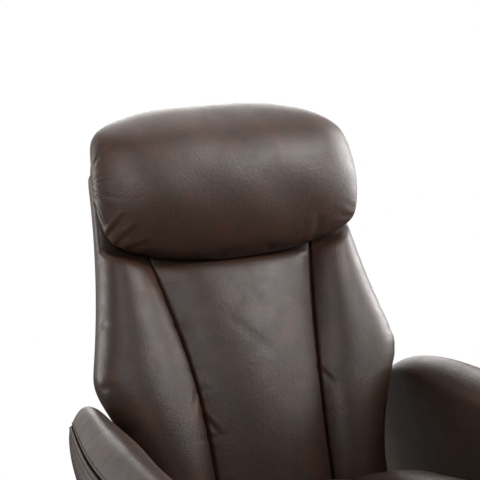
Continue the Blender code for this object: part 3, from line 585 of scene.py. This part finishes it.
# %% The arms
ARM_INSIDE = 0.3063
ARM_WIDTH = 0.116
ARM_FOOT = 0.28695
ARM_CREST = 0.58595
ARM_FRONT = -0.330
ARM_REAR = 0.388
ARM_FRONT_TAPER = 0.25
ARM_REAR_TAPER = 0.60
ARM_UNDERCUT = 0.016
ARM_RIDGE = -0.15
ARM_ROLLS = (0.045, 0.070)
ARM_END_DROP = 0.065
ARM_FRONT_DROP = 0.010
ARM_FOOT_REACH = 0.025
ARM_SLANT = 0.045
ARM_RAKE = 0.205
ARM_MEAN_HALF = 0.050
ARM_SEAM = 0.6875
ARM_STITCHES = (("inner", ARM_SEAM - 0.0625), ("outer", ARM_SEAM + 0.09375))
ARM_ACROSS = np.array([-1, -0.85, -0.6, -0.25, 0.1, 0.5, 1])
ARM_UP = np.array([-1, -0.5, 0, 0.5, 0.85, 1])


def arm_form(places, side):
    """An arm over (a, b, c): a outwards, b to the rear, c upwards, tapered at both ends and raked behind.

    From its ridge the crest rolls down by about the square of the way to either edge, less where it narrows.
    """
    out, b, c = places.T
    b = b * (1.5 - 0.5 * b * b)
    up = (c + 1) / 2
    taper = np.where(b < 0, ARM_FRONT_TAPER * np.abs(b) ** 5, ARM_REAR_TAPER * b * b)
    width = ARM_WIDTH * (1 - taper)
    outside = ARM_INSIDE + width - ARM_UNDERCUT * (1 - up) ** 0.5
    x = blend(ARM_INSIDE, outside, (out + 1) / 2)
    inner = out < ARM_RIDGE
    u = (out - ARM_RIDGE) / np.where(inner, -1 - ARM_RIDGE, 1 - ARM_RIDGE)
    roll = np.where(inner, ARM_ROLLS[0] * u**2.2, ARM_ROLLS[1] * u**2) * width / ARM_WIDTH
    drop = ARM_END_DROP * np.abs(b) ** 8 + ARM_FRONT_DROP * smooth_step(-b, -0.6, 0.4)
    rake = (ARM_SLANT + ARM_RAKE * (1 - up)) * (out + 1) / 2
    y = blend(ARM_FRONT, ARM_REAR + ARM_FOOT_REACH * (1 - up) - rake, (b + 1) / 2)
    return np.stack([side * x, y, blend(ARM_FOOT, ARM_CREST - roll - drop, up)], 1)


arm_paths = {}
for name, side in (("left", 1), ("right", -1)):
    arm_mesh = cut("arm", lambda places: arm_form(places, side), ARM_ACROSS, np.linspace(-1, 1, 7), ARM_UP)
    arm_mesh = through(finer(arm_mesh, 1), 2)
    out, b, c = places_of(arm_mesh).T
    inflate(arm_mesh, (out < -0.9) | (c < -0.9), cap=0.003, pressure=1.0)
    arm_mesh = finer(arm_mesh, 1)
    local = points_of(arm_mesh)
    out, b, c = places_of(arm_mesh).T
    top = smooth_step(c, 0.90, 0.999)
    aside = (out - ARM_SEAM) * ARM_MEAN_HALF
    within = smooth_step(-aside, 0.0, 0.004)
    seam = groove(aside, width=0.0014, depth=0.0012)
    seam += gathers(local[:, 1], aside, pitch=0.024, reach=0.020, depth=0.0032, seed=29) * within
    seam -= groove(aside - 0.0055, width=0.0035, depth=0.0012)
    height = top * seam + dents(local, size=0.15, depth=0.0014, seed=31 + side)
    raised(arm_mesh, height)
    local, normal = points_of(arm_mesh), normals_of(arm_mesh)
    for row, across in ARM_STITCHES:
        line = np.flatnonzero((np.abs(out - across) < 1e-4) & (c > 0.999) & (np.abs(b) < 0.97))
        line = line[np.argsort(b[line])]
        arm_paths[name, row] = placed(local[line] + normal[line] * 0.0004, CHAIR_FRAME)
    # Painted shade: how deep in the shoulder seam a point lies, which the leather paints darker.
    crease_shade = top * np.exp(-((aside / 0.0010) ** 2))
    upholster(f"arm_{name}_leather", arm_mesh, CHAIR_FRAME, "carrier", f"arm_{name}", crease_shade)

# %% [markdown]
# ## The ottoman's cushion
# It isn't in the photograph. It repeats the seat's three panels on a smaller plan, as such sets do.

# %% The ottoman cushion
OTTOMAN_HALF_WIDTH = 0.260
OTTOMAN_HALF_DEPTH = 0.205
OTTOMAN_UNDERSIDE = 0.0543
OTTOMAN_THICKNESS = 0.105
OTTOMAN_CROWN = 0.030
OTTOMAN_SEAM = 0.105
OTTOMAN_SIDE_SEAM = 0.125


def ottoman_form(places):
    """The ottoman's pad over (a, b, c): three crowned panels, whose ends draw in a little at the seams."""
    a, b, c = places.T
    x, t = three_panels(a, OTTOMAN_SEAM, OTTOMAN_HALF_WIDTH)
    y = OTTOMAN_HALF_DEPTH * b * (1 - 0.02 * t * t)
    top = OTTOMAN_UNDERSIDE + OTTOMAN_THICKNESS + OTTOMAN_CROWN * crown(t, 4) * crown(b, 4)
    return np.stack([x, y, blend(OTTOMAN_UNDERSIDE, top, (c + 1) / 2)], 1)


ottoman_mesh = finer(cut("ottoman", ottoman_form, ACROSS, np.linspace(-1, 1, 11), THICK), 2)
seams = (OTTOMAN_SEAM, OTTOMAN_SEAM)
ottoman_mesh, crease_shade = boxed(ottoman_mesh, seams, OTTOMAN_SIDE_SEAM, dent_size=0.16, seeds=(37, 41, 43))
upholster("ottoman_leather", ottoman_mesh, OTTOMAN_FRAME, "ottoman_top", "ottoman_cushion", crease_shade)

# %% [markdown]
# ## The outer back
# A thin leather-covered shell closes the back from behind. It is one surface over two parameters, from rim to
# rim and from foot to top, with a wall inside it.

# %% The outer back
SHELL_FOOT = 0.0108
SHELL_TOP = 0.680
SHELL_WALL = 0.006
SHELL_INSET = 0.010
SHELL_TAPER = 0.88
SHELL_RIM = 0.2
SHELL_FRONT = -0.016
SHELL_DEPTH = 0.070
SHELL_TOP_DEPTH = 0.024
SHELL_SEAM = 0.72
SHELL_HALF = 0.30


def shell_form(places):
    """The shell over (a, b, c): a trough with rims that turn forward, shallower at the top, c its wall."""
    a, b, c = places.T
    wall = SHELL_WALL * (1 - c) / 2
    up = (b + 1) / 2
    z = blend(SHELL_FOOT, SHELL_TOP, up)
    rim = np.minimum(1, (1 - np.abs(a)) / SHELL_RIM)
    across = a / np.maximum(np.abs(a), 1 - SHELL_RIM)
    x = across * ((back_half_width(z) - SHELL_INSET) * blend(1, SHELL_TAPER, rim) - wall)
    depth = blend(SHELL_DEPTH, SHELL_TOP_DEPTH, up**4) - wall
    return np.stack([x, blend(SHELL_FRONT, depth, rim), z], 1)


lists = [np.linspace(-1, 1, count) for count in (11, 9, 2)]
shell_mesh = finer(cut("shell", shell_form, *lists), 3)
local = points_of(shell_mesh)
x, y, z = local.T
a, b, c = places_of(shell_mesh).T
outside = c > 0.99
aside = (np.abs(a) - SHELL_SEAM) * SHELL_HALF
height = groove(aside, width=0.0035, depth=0.0028)
height += gathers(z + np.sign(x), aside, pitch=0.030, reach=0.012, depth=0.0016, seed=47)
height += dents(local, size=0.22, depth=0.0012, seed=53)
raised(shell_mesh, outside * height)
# Painted shade: how deep in the rim seam a point lies, which the leather paints darker.
crease_shade = outside * np.exp(-((aside / 0.005) ** 2))
upholster("outer_back_leather", shell_mesh, BACK_FRAME, "back", "back_shell", crease_shade)

# %% [markdown]
# ## Stitches
# The arms' shoulder seam shows two rows of thread. A stitch is a short bent capsule: a ring of points carried
# along a small arch. All stitches of a row are one array: where they start and which way they run comes
# from points spaced evenly along the seam.

# %% Rows of stitches
STITCH_PITCH = 0.0085
STITCH_LENGTH = 0.0062
THREAD_WIDTH = 0.0014
RINGS = 6
AROUND = 5


def spaced(path, pitch):
    """Points every pitch along a path, with the direction there, by measuring along it."""
    run = np.concatenate([[0], np.cumsum(np.linalg.norm(np.diff(path, axis=0), axis=1))])
    stops = np.arange(pitch, run[-1] - pitch, pitch)
    points = np.stack([np.interp(stops, run, path[:, k]) for k in range(3)], 1)
    ahead = np.stack([np.interp(stops + 0.2 * pitch, run, path[:, k]) for k in range(3)], 1)
    way = ahead - points
    return points, way / np.linalg.norm(way, axis=1)[:, None]


def stitch_row(path):
    """Points and quads of a row: each stitch is a few rings on an arch, thinner towards its ends."""
    points, way = spaced(path, STITCH_PITCH)
    up = np.array([0, 0, 1.0]) - way * way[:, 2:]
    up /= np.linalg.norm(up, axis=1)[:, None]
    across = np.cross(way, up)
    u = np.linspace(-1, 1, RINGS)
    turn = np.linspace(0, 2 * math.pi, AROUND, endpoint=False)
    radius = THREAD_WIDTH / 2 * np.sqrt(np.maximum(0.02, 1 - u**4))
    arch = THREAD_WIDTH * 0.6 * (1 - u * u)
    ring_up = radius[:, None] * np.sin(turn) + arch[:, None]
    ring_across = radius[:, None] * np.cos(turn)
    ring_along = np.repeat(u[:, None] * STITCH_LENGTH / 2, AROUND, 1)
    made = (
        points[:, None, None]
        + way[:, None, None] * ring_along[None, :, :, None]
        + up[:, None, None] * ring_up[None, :, :, None]
        + across[:, None, None] * ring_across[None, :, :, None]
    )
    index = np.arange(RINGS * AROUND).reshape(RINGS, AROUND)
    ahead = np.roll(index, -1, 1)
    sides = np.stack([index[:-1], ahead[:-1], ahead[1:], index[1:]], -1).reshape(-1, 4)
    faces = sides[None] + index.size * np.arange(len(points))[:, None, None]
    return made.reshape(-1, 3), faces.reshape(-1, 4)


thread_pieces = []
for name in ("left", "right"):
    made = [stitch_row(arm_paths[name, row]) for row, _ in ARM_STITCHES]
    points = np.concatenate([m[0] for m in made])
    faces = np.concatenate([made[0][1], made[1][1] + len(made[0][0])])
    mesh = mesh_of(f"arm_{name}_stitches", points, faces)
    piece = bpy.data.objects.new(f"arm_{name}_stitches", mesh)
    scene.collection.objects.link(piece)
    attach(piece, "carrier")
    thread_pieces.append(piece)
    print(piece.name, len(points) // (RINGS * AROUND), "stitches")

# %% [markdown]
# ## Colours and nodes
# Colours are written as they look on a screen, in sRGB hex, and one function turns them to the linear values
# that light is reckoned in. Another small function adds a node, sets it and links its inputs. Where an input
# is given a node, it takes that node's first output in use.

# %% Helpers for materials


def linear(code):
    """An sRGB hex colour as linear red, green, blue and alpha."""
    parts = [int(code[k : k + 2], 16) / 255 for k in (1, 3, 5)]
    return tuple(p / 12.92 if p <= 0.04045 else ((p + 0.055) / 1.055) ** 2.4 for p in parts) + (1.0,)


def node(tree, kind, inputs=None, **settings):
    """Adds a node: settings are its properties, inputs its sockets. A node that exists is only linked."""
    made = tree.nodes.new("ShaderNode" + kind) if isinstance(kind, str) else kind
    for key, value in settings.items():
        setattr(made, key, value)
    for key, value in (inputs or {}).items():
        if isinstance(value, bpy.types.Node):
            value = next(socket for socket in value.outputs if socket.enabled)
        if isinstance(value, bpy.types.NodeSocket):
            tree.links.new(value, made.inputs[key])
        else:
            made.inputs[key].default_value = value
    return made


def new_material(name):
    """An empty material with a Principled surface: (material, its tree, the shader, Object coordinates)."""
    material = bpy.data.materials.new(name)
    material.use_nodes = True
    tree = material.node_tree
    return material, tree, tree.nodes["Principled BSDF"], node(tree, "TexCoord").outputs["Object"]


# %% [markdown]
# ## Leather
# Corrected-grain cowhide, pigmented dark brown and hand-rubbed with a rust-coloured stain, so that cloudy
# patches of 20 to 60 mm show in it, then sealed with a satin lacquer. To the eye that is a dark, warm
# ground under a soft grey sheen. The pebbled grain is about 1 mm across, too fine for a picture from two
# metres, and is drawn at 2.6 mm. Creases carry painted shade: they are painted darker and their sheen is
# turned down, standing in for the light that doesn't reach into them.

# %% Leather
leather, tree, skin, place = new_material("cowhide_rubbed_brown_satin")
cloud = node(tree, "TexNoise", {"Vector": place, "Scale": 1 / 0.055, "Detail": 6.0, "Roughness": 0.65})
rubbed = {0: cloud, 1: 0.45, 2: 0.72, 3: 0.0, 4: 0.42}
rust = node(tree, "MapRange", rubbed, interpolation_type="SMOOTHSTEP")
fleck = node(tree, "TexNoise", {"Vector": place, "Scale": 1 / 0.035, "Detail": 6.0, "Roughness": 0.6})
missed = {0: fleck, 1: 0.35, 2: 0.75, 3: 0.0, 4: 0.6}
dark = node(tree, "MapRange", missed, interpolation_type="SMOOTHSTEP")
ground, stain, shadow, painted_crease_shade = (linear(code) for code in ("#3c2b23", "#56301c", "#2a1e18", "#120b08"))
stained = node(tree, "Mix", {0: rust, 6: ground, 7: stain}, data_type="RGBA")
mottled = node(tree, "Mix", {0: dark, 6: stained, 7: shadow}, data_type="RGBA")
# Painted shade: the crease attribute mixes in the near-black crevice colour and turns down the specular level.
crease_shade_mask = node(tree, "Attribute", attribute_name="crease_shade").outputs["Fac"]
depth = node(tree, "Math", {0: crease_shade_mask, 1: 0.9}, operation="MULTIPLY", use_clamp=True)
colour = node(tree, "Mix", {0: depth, 6: mottled, 7: painted_crease_shade}, data_type="RGBA")
shine = node(tree, "MapRange", {0: fleck, 1: 0.3, 2: 0.7, 3: 0.38, 4: 0.48})
sheen_shaded_in_creases = node(tree, "MapRange", {0: crease_shade_mask, 1: 0.02, 2: 0.3, 3: 0.5, 4: 0.0})
pebble = node(tree, "TexVoronoi", {"Vector": place, "Scale": 1 / 0.0026}, feature="SMOOTH_F1")
wrinkle = node(tree, "TexNoise", {"Vector": place, "Scale": 1 / 0.009, "Detail": 5.0, "Roughness": 0.65})
grain = node(tree, "Bump", {"Strength": 0.28, "Distance": 0.0008, "Height": pebble})
relief = node(tree, "Bump", {"Strength": 0.32, "Distance": 0.0012, "Height": wrinkle, "Normal": grain})
node(tree, skin, {"Base Color": colour, "Roughness": shine, "Specular IOR Level": sheen_shaded_in_creases, "Normal": relief})
skin.inputs["IOR"].default_value = 1.48
for piece in leather_pieces:
    piece.data.materials.clear()
    piece.data.materials.append(leather)
print("leather on", len(leather_pieces), "pieces")

# %% [markdown]
# Bonded polyester thread is a twisted cord with a slight gloss, a shade darker than the leather. Its strands
# wind once in 1.6 mm, which a wave texture draws as slanting bands.

# %% Thread
thread, tree, fibre, place = new_material("polyester_thread_twisted_brown")
bands = {"Vector": place, "Scale": 0.5 / 0.0016, "Distortion": 1.5}
twist = node(tree, "TexWave", bands, bands_direction="DIAGONAL").outputs["Fac"]
strands = node(tree, "Mix", {0: twist, 6: linear("#1d1411"), 7: linear("#3a2820")}, data_type="RGBA")
node(tree, fibre, {"Base Color": strands, "Roughness": 0.55})
for piece in thread_pieces:
    piece.data.materials.append(thread)
print("thread on", len(thread_pieces), "pieces")

# %% [markdown]
# ## Bentwood
# Beech veneers glued over a mould, stained walnut and lacquered to a satin. The grain follows the bend: round
# the ring, and up the legs. So the pattern isn't drawn in x, y and z but in the angle and the distance from
# the middle of each base. Streaks are long and about 12 mm apart, pores about 2 mm, drawn coarser than beech
# has them so that they show.

# %% Bentwood


def bentwood(name, centre_y, along):
    """Stained veneer with its grain along the angle about a vertical axis at (0, centre_y), or the radius."""
    wood, tree, surface, place = new_material(name)
    centred = node(tree, "VectorMath", {0: place, 1: (0, -centre_y, 0)}, operation="ADD")
    parts = node(tree, "SeparateXYZ", {0: centred}).outputs
    angle = node(tree, "Math", {0: parts["Y"], 1: parts["X"]}, operation="ARCTAN2")
    flat = node(tree, "VectorMath", {0: centred, 1: (1, 1, 0)}, operation="MULTIPLY")
    radius = node(tree, "VectorMath", {0: flat}, operation="LENGTH")
    arc = node(tree, "Math", {0: angle, 1: 0.30}, operation="MULTIPLY")
    long, broad = (arc, radius) if along == "angle" else (radius, arc)
    stretched = node(tree, "Math", {0: long, 1: 0.06}, operation="MULTIPLY")
    grained = node(tree, "CombineXYZ", {0: stretched, 1: broad, 2: parts["Z"]})
    figure = node(tree, "TexNoise", {"Vector": grained, "Scale": 1 / 0.012, "Detail": 6.0, "Roughness": 0.6})
    pores = node(tree, "TexNoise", {"Vector": grained, "Scale": 1 / 0.0022, "Detail": 3.0})
    tone = node(tree, "MapRange", {0: figure, 1: 0.3, 2: 0.7})
    body = node(tree, "Mix", {0: tone, 6: linear("#2f1a10"), 7: linear("#5a3520")}, data_type="RGBA")
    dot = node(tree, "MapRange", {0: pores, 1: 0.55, 2: 0.75, 3: 0.0, 4: 0.5})
    veneer = node(tree, "Mix", {0: dot, 6: body, 7: linear("#1d0f08")}, data_type="RGBA")
    gloss = node(tree, "MapRange", {0: pores, 1: 0.3, 2: 0.8, 3: 0.34, 4: 0.5})
    pits = node(tree, "Bump", {"Strength": 0.15, "Distance": 0.0005, "Height": pores})
    node(tree, surface, {"Base Color": veneer, "Roughness": gloss, "Normal": pits})
    node(tree, surface, {"Coat Weight": 0.25, "Coat Roughness": 0.25})
    return wood


finishes = {}
for base, centre_y in (("base", CHAIR_Y), ("ottoman", OTTOMAN_Y)):
    finishes[f"{base}_ring"] = bentwood(f"beech_veneer_stained_round_{base}", centre_y, "angle")
    finishes[f"{base}_hub"] = finishes[f"{base}_ring"]
    leg_grain = bentwood(f"beech_veneer_stained_leg_{base}", centre_y, "radius")
    finishes.update({f"{base}_leg_{number}": leg_grain for number in range(1, 5)})
print("bentwood for", len(finishes), "pieces")

# %% [markdown]
# ## Metals, plastic, felt and cloth
# Each of these is two close tones in soft spots, with a grain in relief, so one function makes them all, and
# the sizes of spots and grains tell them apart.

# %% Finishes of two tones


def uneven(name, tones, spot, rough, grain, relief, metallic=0.0):
    """Two tones mixed by noise with spots of one size, rougher where lighter, and a bump of finer grains."""
    finish, tree, surface, place = new_material(name)
    spots = node(tree, "TexNoise", {"Vector": place, "Scale": 1 / spot, "Detail": 5.0})
    share = node(tree, "MapRange", {0: spots, 1: 0.3, 2: 0.7})
    tint = node(tree, "Mix", {0: share, 6: linear(tones[0]), 7: linear(tones[1])}, data_type="RGBA")
    matt = node(tree, "MapRange", {0: share, 3: rough[0], 4: rough[1]})
    grains = node(tree, "TexNoise", {"Vector": place, "Scale": 1 / grain, "Detail": 3.0})
    bump = node(tree, "Bump", {"Strength": relief, "Distance": grain / 4, "Height": grains})
    node(tree, surface, {"Base Color": tint, "Roughness": matt, "Normal": bump, "Metallic": metallic})
    return finish


# Powder coat: black and satin, melted on, with the faint ripples of an orange's peel.
powder = uneven("steel_powder_coated_black", ("#19191b", "#26262a"), 0.045, (0.42, 0.56), 0.0030, 0.12)
# Zinc plating: bright and cool, a little cloudy.
plated = uneven("steel_zinc_plated_bright", ("#9fa3a8", "#c3c6ca"), 0.015, (0.26, 0.40), 0.0020, 0.04, 1.0)
# Drawn spring wire: grey-brown with traces of scale.
drawn = uneven("steel_spring_wire_drawn", ("#5d5a55", "#8a867e"), 0.008, (0.36, 0.48), 0.0015, 0.10, 1.0)
# Polypropylene from an eroded mould: matt black with a fine sparkle.
moulded = uneven("polypropylene_moulded_black", ("#161617", "#222224"), 0.020, (0.46, 0.58), 0.0015, 0.22)
# Pressed wool felt: grey, dull and fibrous.
felt = uneven("wool_felt_pressed_grey", ("#4c4a48", "#76736f"), 0.004, (0.92, 0.98), 0.0025, 0.60)
# Non-woven fleece, embossed with points 3 mm apart: dull black.
fleece_tones = ("#101011", "#232325")
fleece = uneven("polypropylene_fleece_embossed_black", fleece_tones, 0.006, (0.80, 0.90), 0.0030, 0.50)

# %% [markdown]
# The ottoman's pan is birch plywood: a pale face with long soft streaks, and on its edge the layers, 1.4 mm
# each, one in two darker because its grain runs the other way.

# %% Plywood
plywood, tree, ply, place = new_material("birch_plywood_sanded")
streaks = node(tree, "VectorMath", {0: place, 1: (0.08, 1, 0.3)}, operation="MULTIPLY")
figure = node(tree, "TexNoise", {"Vector": streaks, "Scale": 1 / 0.010, "Detail": 6.0})
layers = node(tree, "TexWave", {"Vector": place, "Scale": 0.31 / 0.0028}, bands_direction="Z").outputs["Fac"]
face = node(tree, "Mix", {0: figure, 6: linear("#c9a878"), 7: linear("#e2c79d")}, data_type="RGBA")
line = node(tree, "Math", {0: layers, 1: 0.35}, operation="MULTIPLY")
tint = node(tree, "Mix", {0: line, 6: face, 7: linear("#9a7448")}, data_type="RGBA")
node(tree, ply, {"Base Color": tint, "Roughness": 0.62})

# %% [markdown]
# The record names a material slot for each CAD node. A node takes the finish of its slot, and only the
# bentwood pieces differ within theirs, by the way their grain runs.

# %% Handing out the finishes
BY_SLOT = {
    "leather": leather,
    "steel_black": powder,
    "zinc": plated,
    "spring_steel": drawn,
    "plastic": moulded,
    "felt": felt,
    "dust_cloth": fleece,
    "plywood": plywood,
}
for row in frame["record"]["subparts"]:
    part = frame["nodes"][row["node"]]
    part.data.materials.clear()
    part.data.materials.append(finishes.get(row["node"]) or BY_SLOT[row["material_slot"]])

# %% [markdown]
# ## Edges of the hard pieces
# CAD meshes come in as loose flat triangles. Four live modifiers finish them and leave the meshes as they
# are: Weld joins the triangles, Bevel breaks the sharp edges by half a millimetre, a small Geometry Nodes
# group shades the bends smooth and keeps sharp what turns by more than 35 degrees, and Weighted Normal keeps
# large flat faces flat, so that only their edges catch the light.

# %% Broken edges and smooth bends
SHARP = math.radians(35)
smooth_bends = bpy.data.node_groups.new("smooth_bends", "GeometryNodeTree")
for way in ("INPUT", "OUTPUT"):
    smooth_bends.interface.new_socket("Geometry", in_out=way, socket_type="NodeSocketGeometry")
group_in = smooth_bends.nodes.new("NodeGroupInput")
group_out = smooth_bends.nodes.new("NodeGroupOutput")
angle = smooth_bends.nodes.new("GeometryNodeInputMeshEdgeAngle")
below = smooth_bends.nodes.new("FunctionNodeCompare")
below.operation = "LESS_THAN"
below.inputs["B"].default_value = SHARP
by_edge = smooth_bends.nodes.new("GeometryNodeSetShadeSmooth")
by_edge.domain = "EDGE"
by_face = smooth_bends.nodes.new("GeometryNodeSetShadeSmooth")
by_face.domain = "FACE"
for start, end in (
    (angle.outputs["Unsigned Angle"], below.inputs["A"]),
    (below.outputs["Result"], by_edge.inputs["Shade Smooth"]),
    (group_in.outputs[0], by_edge.inputs["Geometry"]),
    (by_edge.outputs[0], by_face.inputs["Geometry"]),
    (by_face.outputs[0], group_out.inputs[0]),
):
    smooth_bends.links.new(start, end)

subparts = frame["record"]["subparts"]
hard = [frame["nodes"][row["node"]] for row in subparts if row["material_slot"] != "leather"]
for part in hard:
    weld = part.modifiers.new("weld", "WELD")
    weld.merge_threshold = 0.00001
    bevel = part.modifiers.new("broken_edge", "BEVEL")
    bevel.width = 0.0005
    bevel.segments = 2
    bevel.limit_method = "ANGLE"
    bevel.angle_limit = SHARP
    part.modifiers.new("smooth_bends", "NODES").node_group = smooth_bends
    flat = part.modifiers.new("flat_faces", "WEIGHTED_NORMAL")
    flat.weight = 100
    flat.keep_sharp = True
print("edges finished on", len(hard), "hard pieces")

# %% [markdown]
# ## Studio
# White stands behind the chair and beside it, and the camera's side is dim, which gives the leather its dark
# faces and bright rims. So the world that glossy rays meet fades from white to dim with the direction. Camera
# and transmission rays see plain white at strength 1, and what the world sheds on the object is far less.
# The floor near the chair is pale and fades to the same white. The leather mirrors it darker than it is, and
# as white only in the distance, so that the gaps behind the arms don't shine.

# %% World and floor
TOWARDS_CAMERA = (-0.37, -0.93, 0.0)
DIM = 0.03
SHED = 0.04
FLOOR_SIZE = 80
FLOOR_BELOW = 0.0005
FADE_TO_WHITE = {1: 0.45, 2: 1.35}
FADE_IN_LEATHER = {1: 5.0, 2: 14.0}


def studio(tree, direction):
    """Brightness of the studio in a direction: 1 away from the camera, fading to a dim side behind it."""
    facing = node(tree, "VectorMath", {0: direction, 1: TOWARDS_CAMERA}, operation="DOT_PRODUCT")
    return node(tree, "MapRange", {0: facing, 1: -0.3, 2: 0.45, 3: 1.0, 4: DIM})


def seen_white(tree, side, clear=1.0):
    """What rays see of the white: camera and transmission rays one share, glossy rays the studio's side."""
    ray = node(tree, "LightPath").outputs
    either = {0: ray["Is Camera Ray"], 1: ray["Is Transmission Ray"]}
    looking = node(tree, "Math", either, operation="MAXIMUM")
    straight = node(tree, "Math", {0: looking, 1: clear}, operation="MULTIPLY")
    glossy = node(tree, "Math", {0: ray["Is Glossy Ray"], 1: side}, operation="MULTIPLY")
    return node(tree, "Math", {0: straight, 1: glossy}, operation="MAXIMUM")


world = bpy.data.worlds.new("white_studio")
scene.world = world
world.use_nodes = True
tree = world.node_tree
side = studio(tree, node(tree, "TexCoord").outputs["Generated"])
shed = node(tree, "Math", {0: side, 1: SHED}, operation="MULTIPLY")
level = node(tree, "Math", {0: seen_white(tree, side), 1: shed}, operation="MAXIMUM")
node(tree, tree.nodes["Background"], {"Color": (1, 1, 1, 1), "Strength": level})

floor_mesh = bpy.data.meshes.new("floor")
corners = FLOOR_SIZE * np.array([(-0.5, -0.5, 0), (0.5, -0.5, 0), (0.5, 0.5, 0), (-0.5, 0.5, 0)])
floor_mesh.from_pydata(corners - np.array([0, 0, FLOOR_BELOW]), [], [(0, 1, 2, 3)])
floor = bpy.data.objects.new("floor", floor_mesh)
scene.collection.objects.link(floor)
pale, tree, paint, place = new_material("floor_painted_pale")
glossy = node(tree, "LightPath").outputs["Is Glossy Ray"]
shade = node(tree, "Mix", {0: glossy, 6: linear("#e9e9e8"), 7: linear("#5c5c5c")}, data_type="RGBA")
node(tree, paint, {"Base Color": shade, "Roughness": 0.7})
far = node(tree, "VectorMath", {0: place}, operation="LENGTH")
fade = node(tree, "MapRange", {0: far} | FADE_TO_WHITE, interpolation_type="SMOOTHSTEP")
way = node(tree, "VectorMath", {0: place}, operation="NORMALIZE")
late = node(tree, "MapRange", {0: far} | FADE_IN_LEATHER, interpolation_type="SMOOTHSTEP")
mirrored = node(tree, "Math", {0: late, 1: studio(tree, way)}, operation="MULTIPLY")
share = seen_white(tree, mirrored, fade)
white = node(tree, "Emission", {"Color": (1, 1, 1, 1), "Strength": 1.0})
both = node(tree, "MixShader", {0: share, 1: paint, 2: white})
node(tree, tree.nodes["Material Output"], {"Surface": both})
floor_mesh.materials.append(pale)

# %% [markdown]
# Lamps are large, so that their edges don't show in the satin leather. Those in front hang above the headrest
# and shine at it in a narrow cone, so the foot of the back stays darker. Those overhead, at the sides and
# behind draw the arms' crests and the outline, and one more lights the ottoman.

# %% Lamps


def softbox(name, start, aim, wide, power, spread=180):
    """A square lamp of some width that shines from one place at another, within a spread in degrees."""
    lamp = bpy.data.lights.new(name, "AREA")
    lamp.shape = "SQUARE"
    lamp.size = wide
    lamp.energy = power
    lamp.spread = math.radians(spread)
    box = bpy.data.objects.new(name, lamp)
    scene.collection.objects.link(box)
    box.location = start
    box.rotation_euler = (Vector(aim) - Vector(start)).to_track_quat("-Z", "Y").to_euler()


softbox("overhead", (0.1, 1.0, 2.6), (0, 0.4, 0.6), 1.6, 14)
softbox("front_right_high", (1.2, -0.9, 2.4), (0, 0.72, 1.25), 1.4, 5.0, 40)
softbox("front_left_high", (-1.0, -1.1, 2.1), (-0.1, 0.72, 1.2), 1.4, 2.4, 40)
softbox("front_right", (2.2, -1.0, 1.6), (0, 0.65, 1.25), 1.4, 1.6, 40)
softbox("right_side", (2.1, 0.8, 1.3), (0, 0.5, 0.9), 1.2, 13, 90)
softbox("left_side", (-2.1, 1.2, 1.2), (0, 0.5, 0.9), 1.2, 9, 90)
softbox("behind", (0.6, 2.3, 1.6), (0.1, 0.4, 0.7), 1.6, 28)
softbox("over_ottoman", (0.1, -0.9, 2.2), (0, -0.60, 0.3), 1.0, 2.0, 40)

# %% [markdown]
# ## Camera
# The photograph was taken from the chair's right front, a little above the headrest, with a long lens: 90 mm
# on a 36 mm wide sensor. These numbers come from fitting the outlines of back, headrest and arms.

# %% Camera
yaw, pitch, roll = (math.radians(degrees) for degrees in (22.47, 7.61, -2.92))
ahead = Vector((math.sin(yaw) * math.cos(pitch), math.cos(yaw) * math.cos(pitch), -math.sin(pitch)))
right = Vector((math.cos(yaw), -math.sin(yaw), 0))
upward = right.cross(ahead)
right, upward = (
    right * math.cos(roll) + upward * math.sin(roll),
    upward * math.cos(roll) - right * math.sin(roll),
)
lens = bpy.data.cameras.new("photo_camera")
lens.lens = 90
lens.sensor_width = 36
camera = bpy.data.objects.new("photo_camera", lens)
scene.collection.objects.link(camera)
camera.location = (-0.862, CHAIR_Y - 1.736, 1.128)
camera.rotation_euler = Matrix((right, upward, -ahead)).transposed().to_euler()
scene.camera = camera
scene.view_settings.view_transform = "Standard"
print("camera at", [round(x, 3) for x in camera.location])
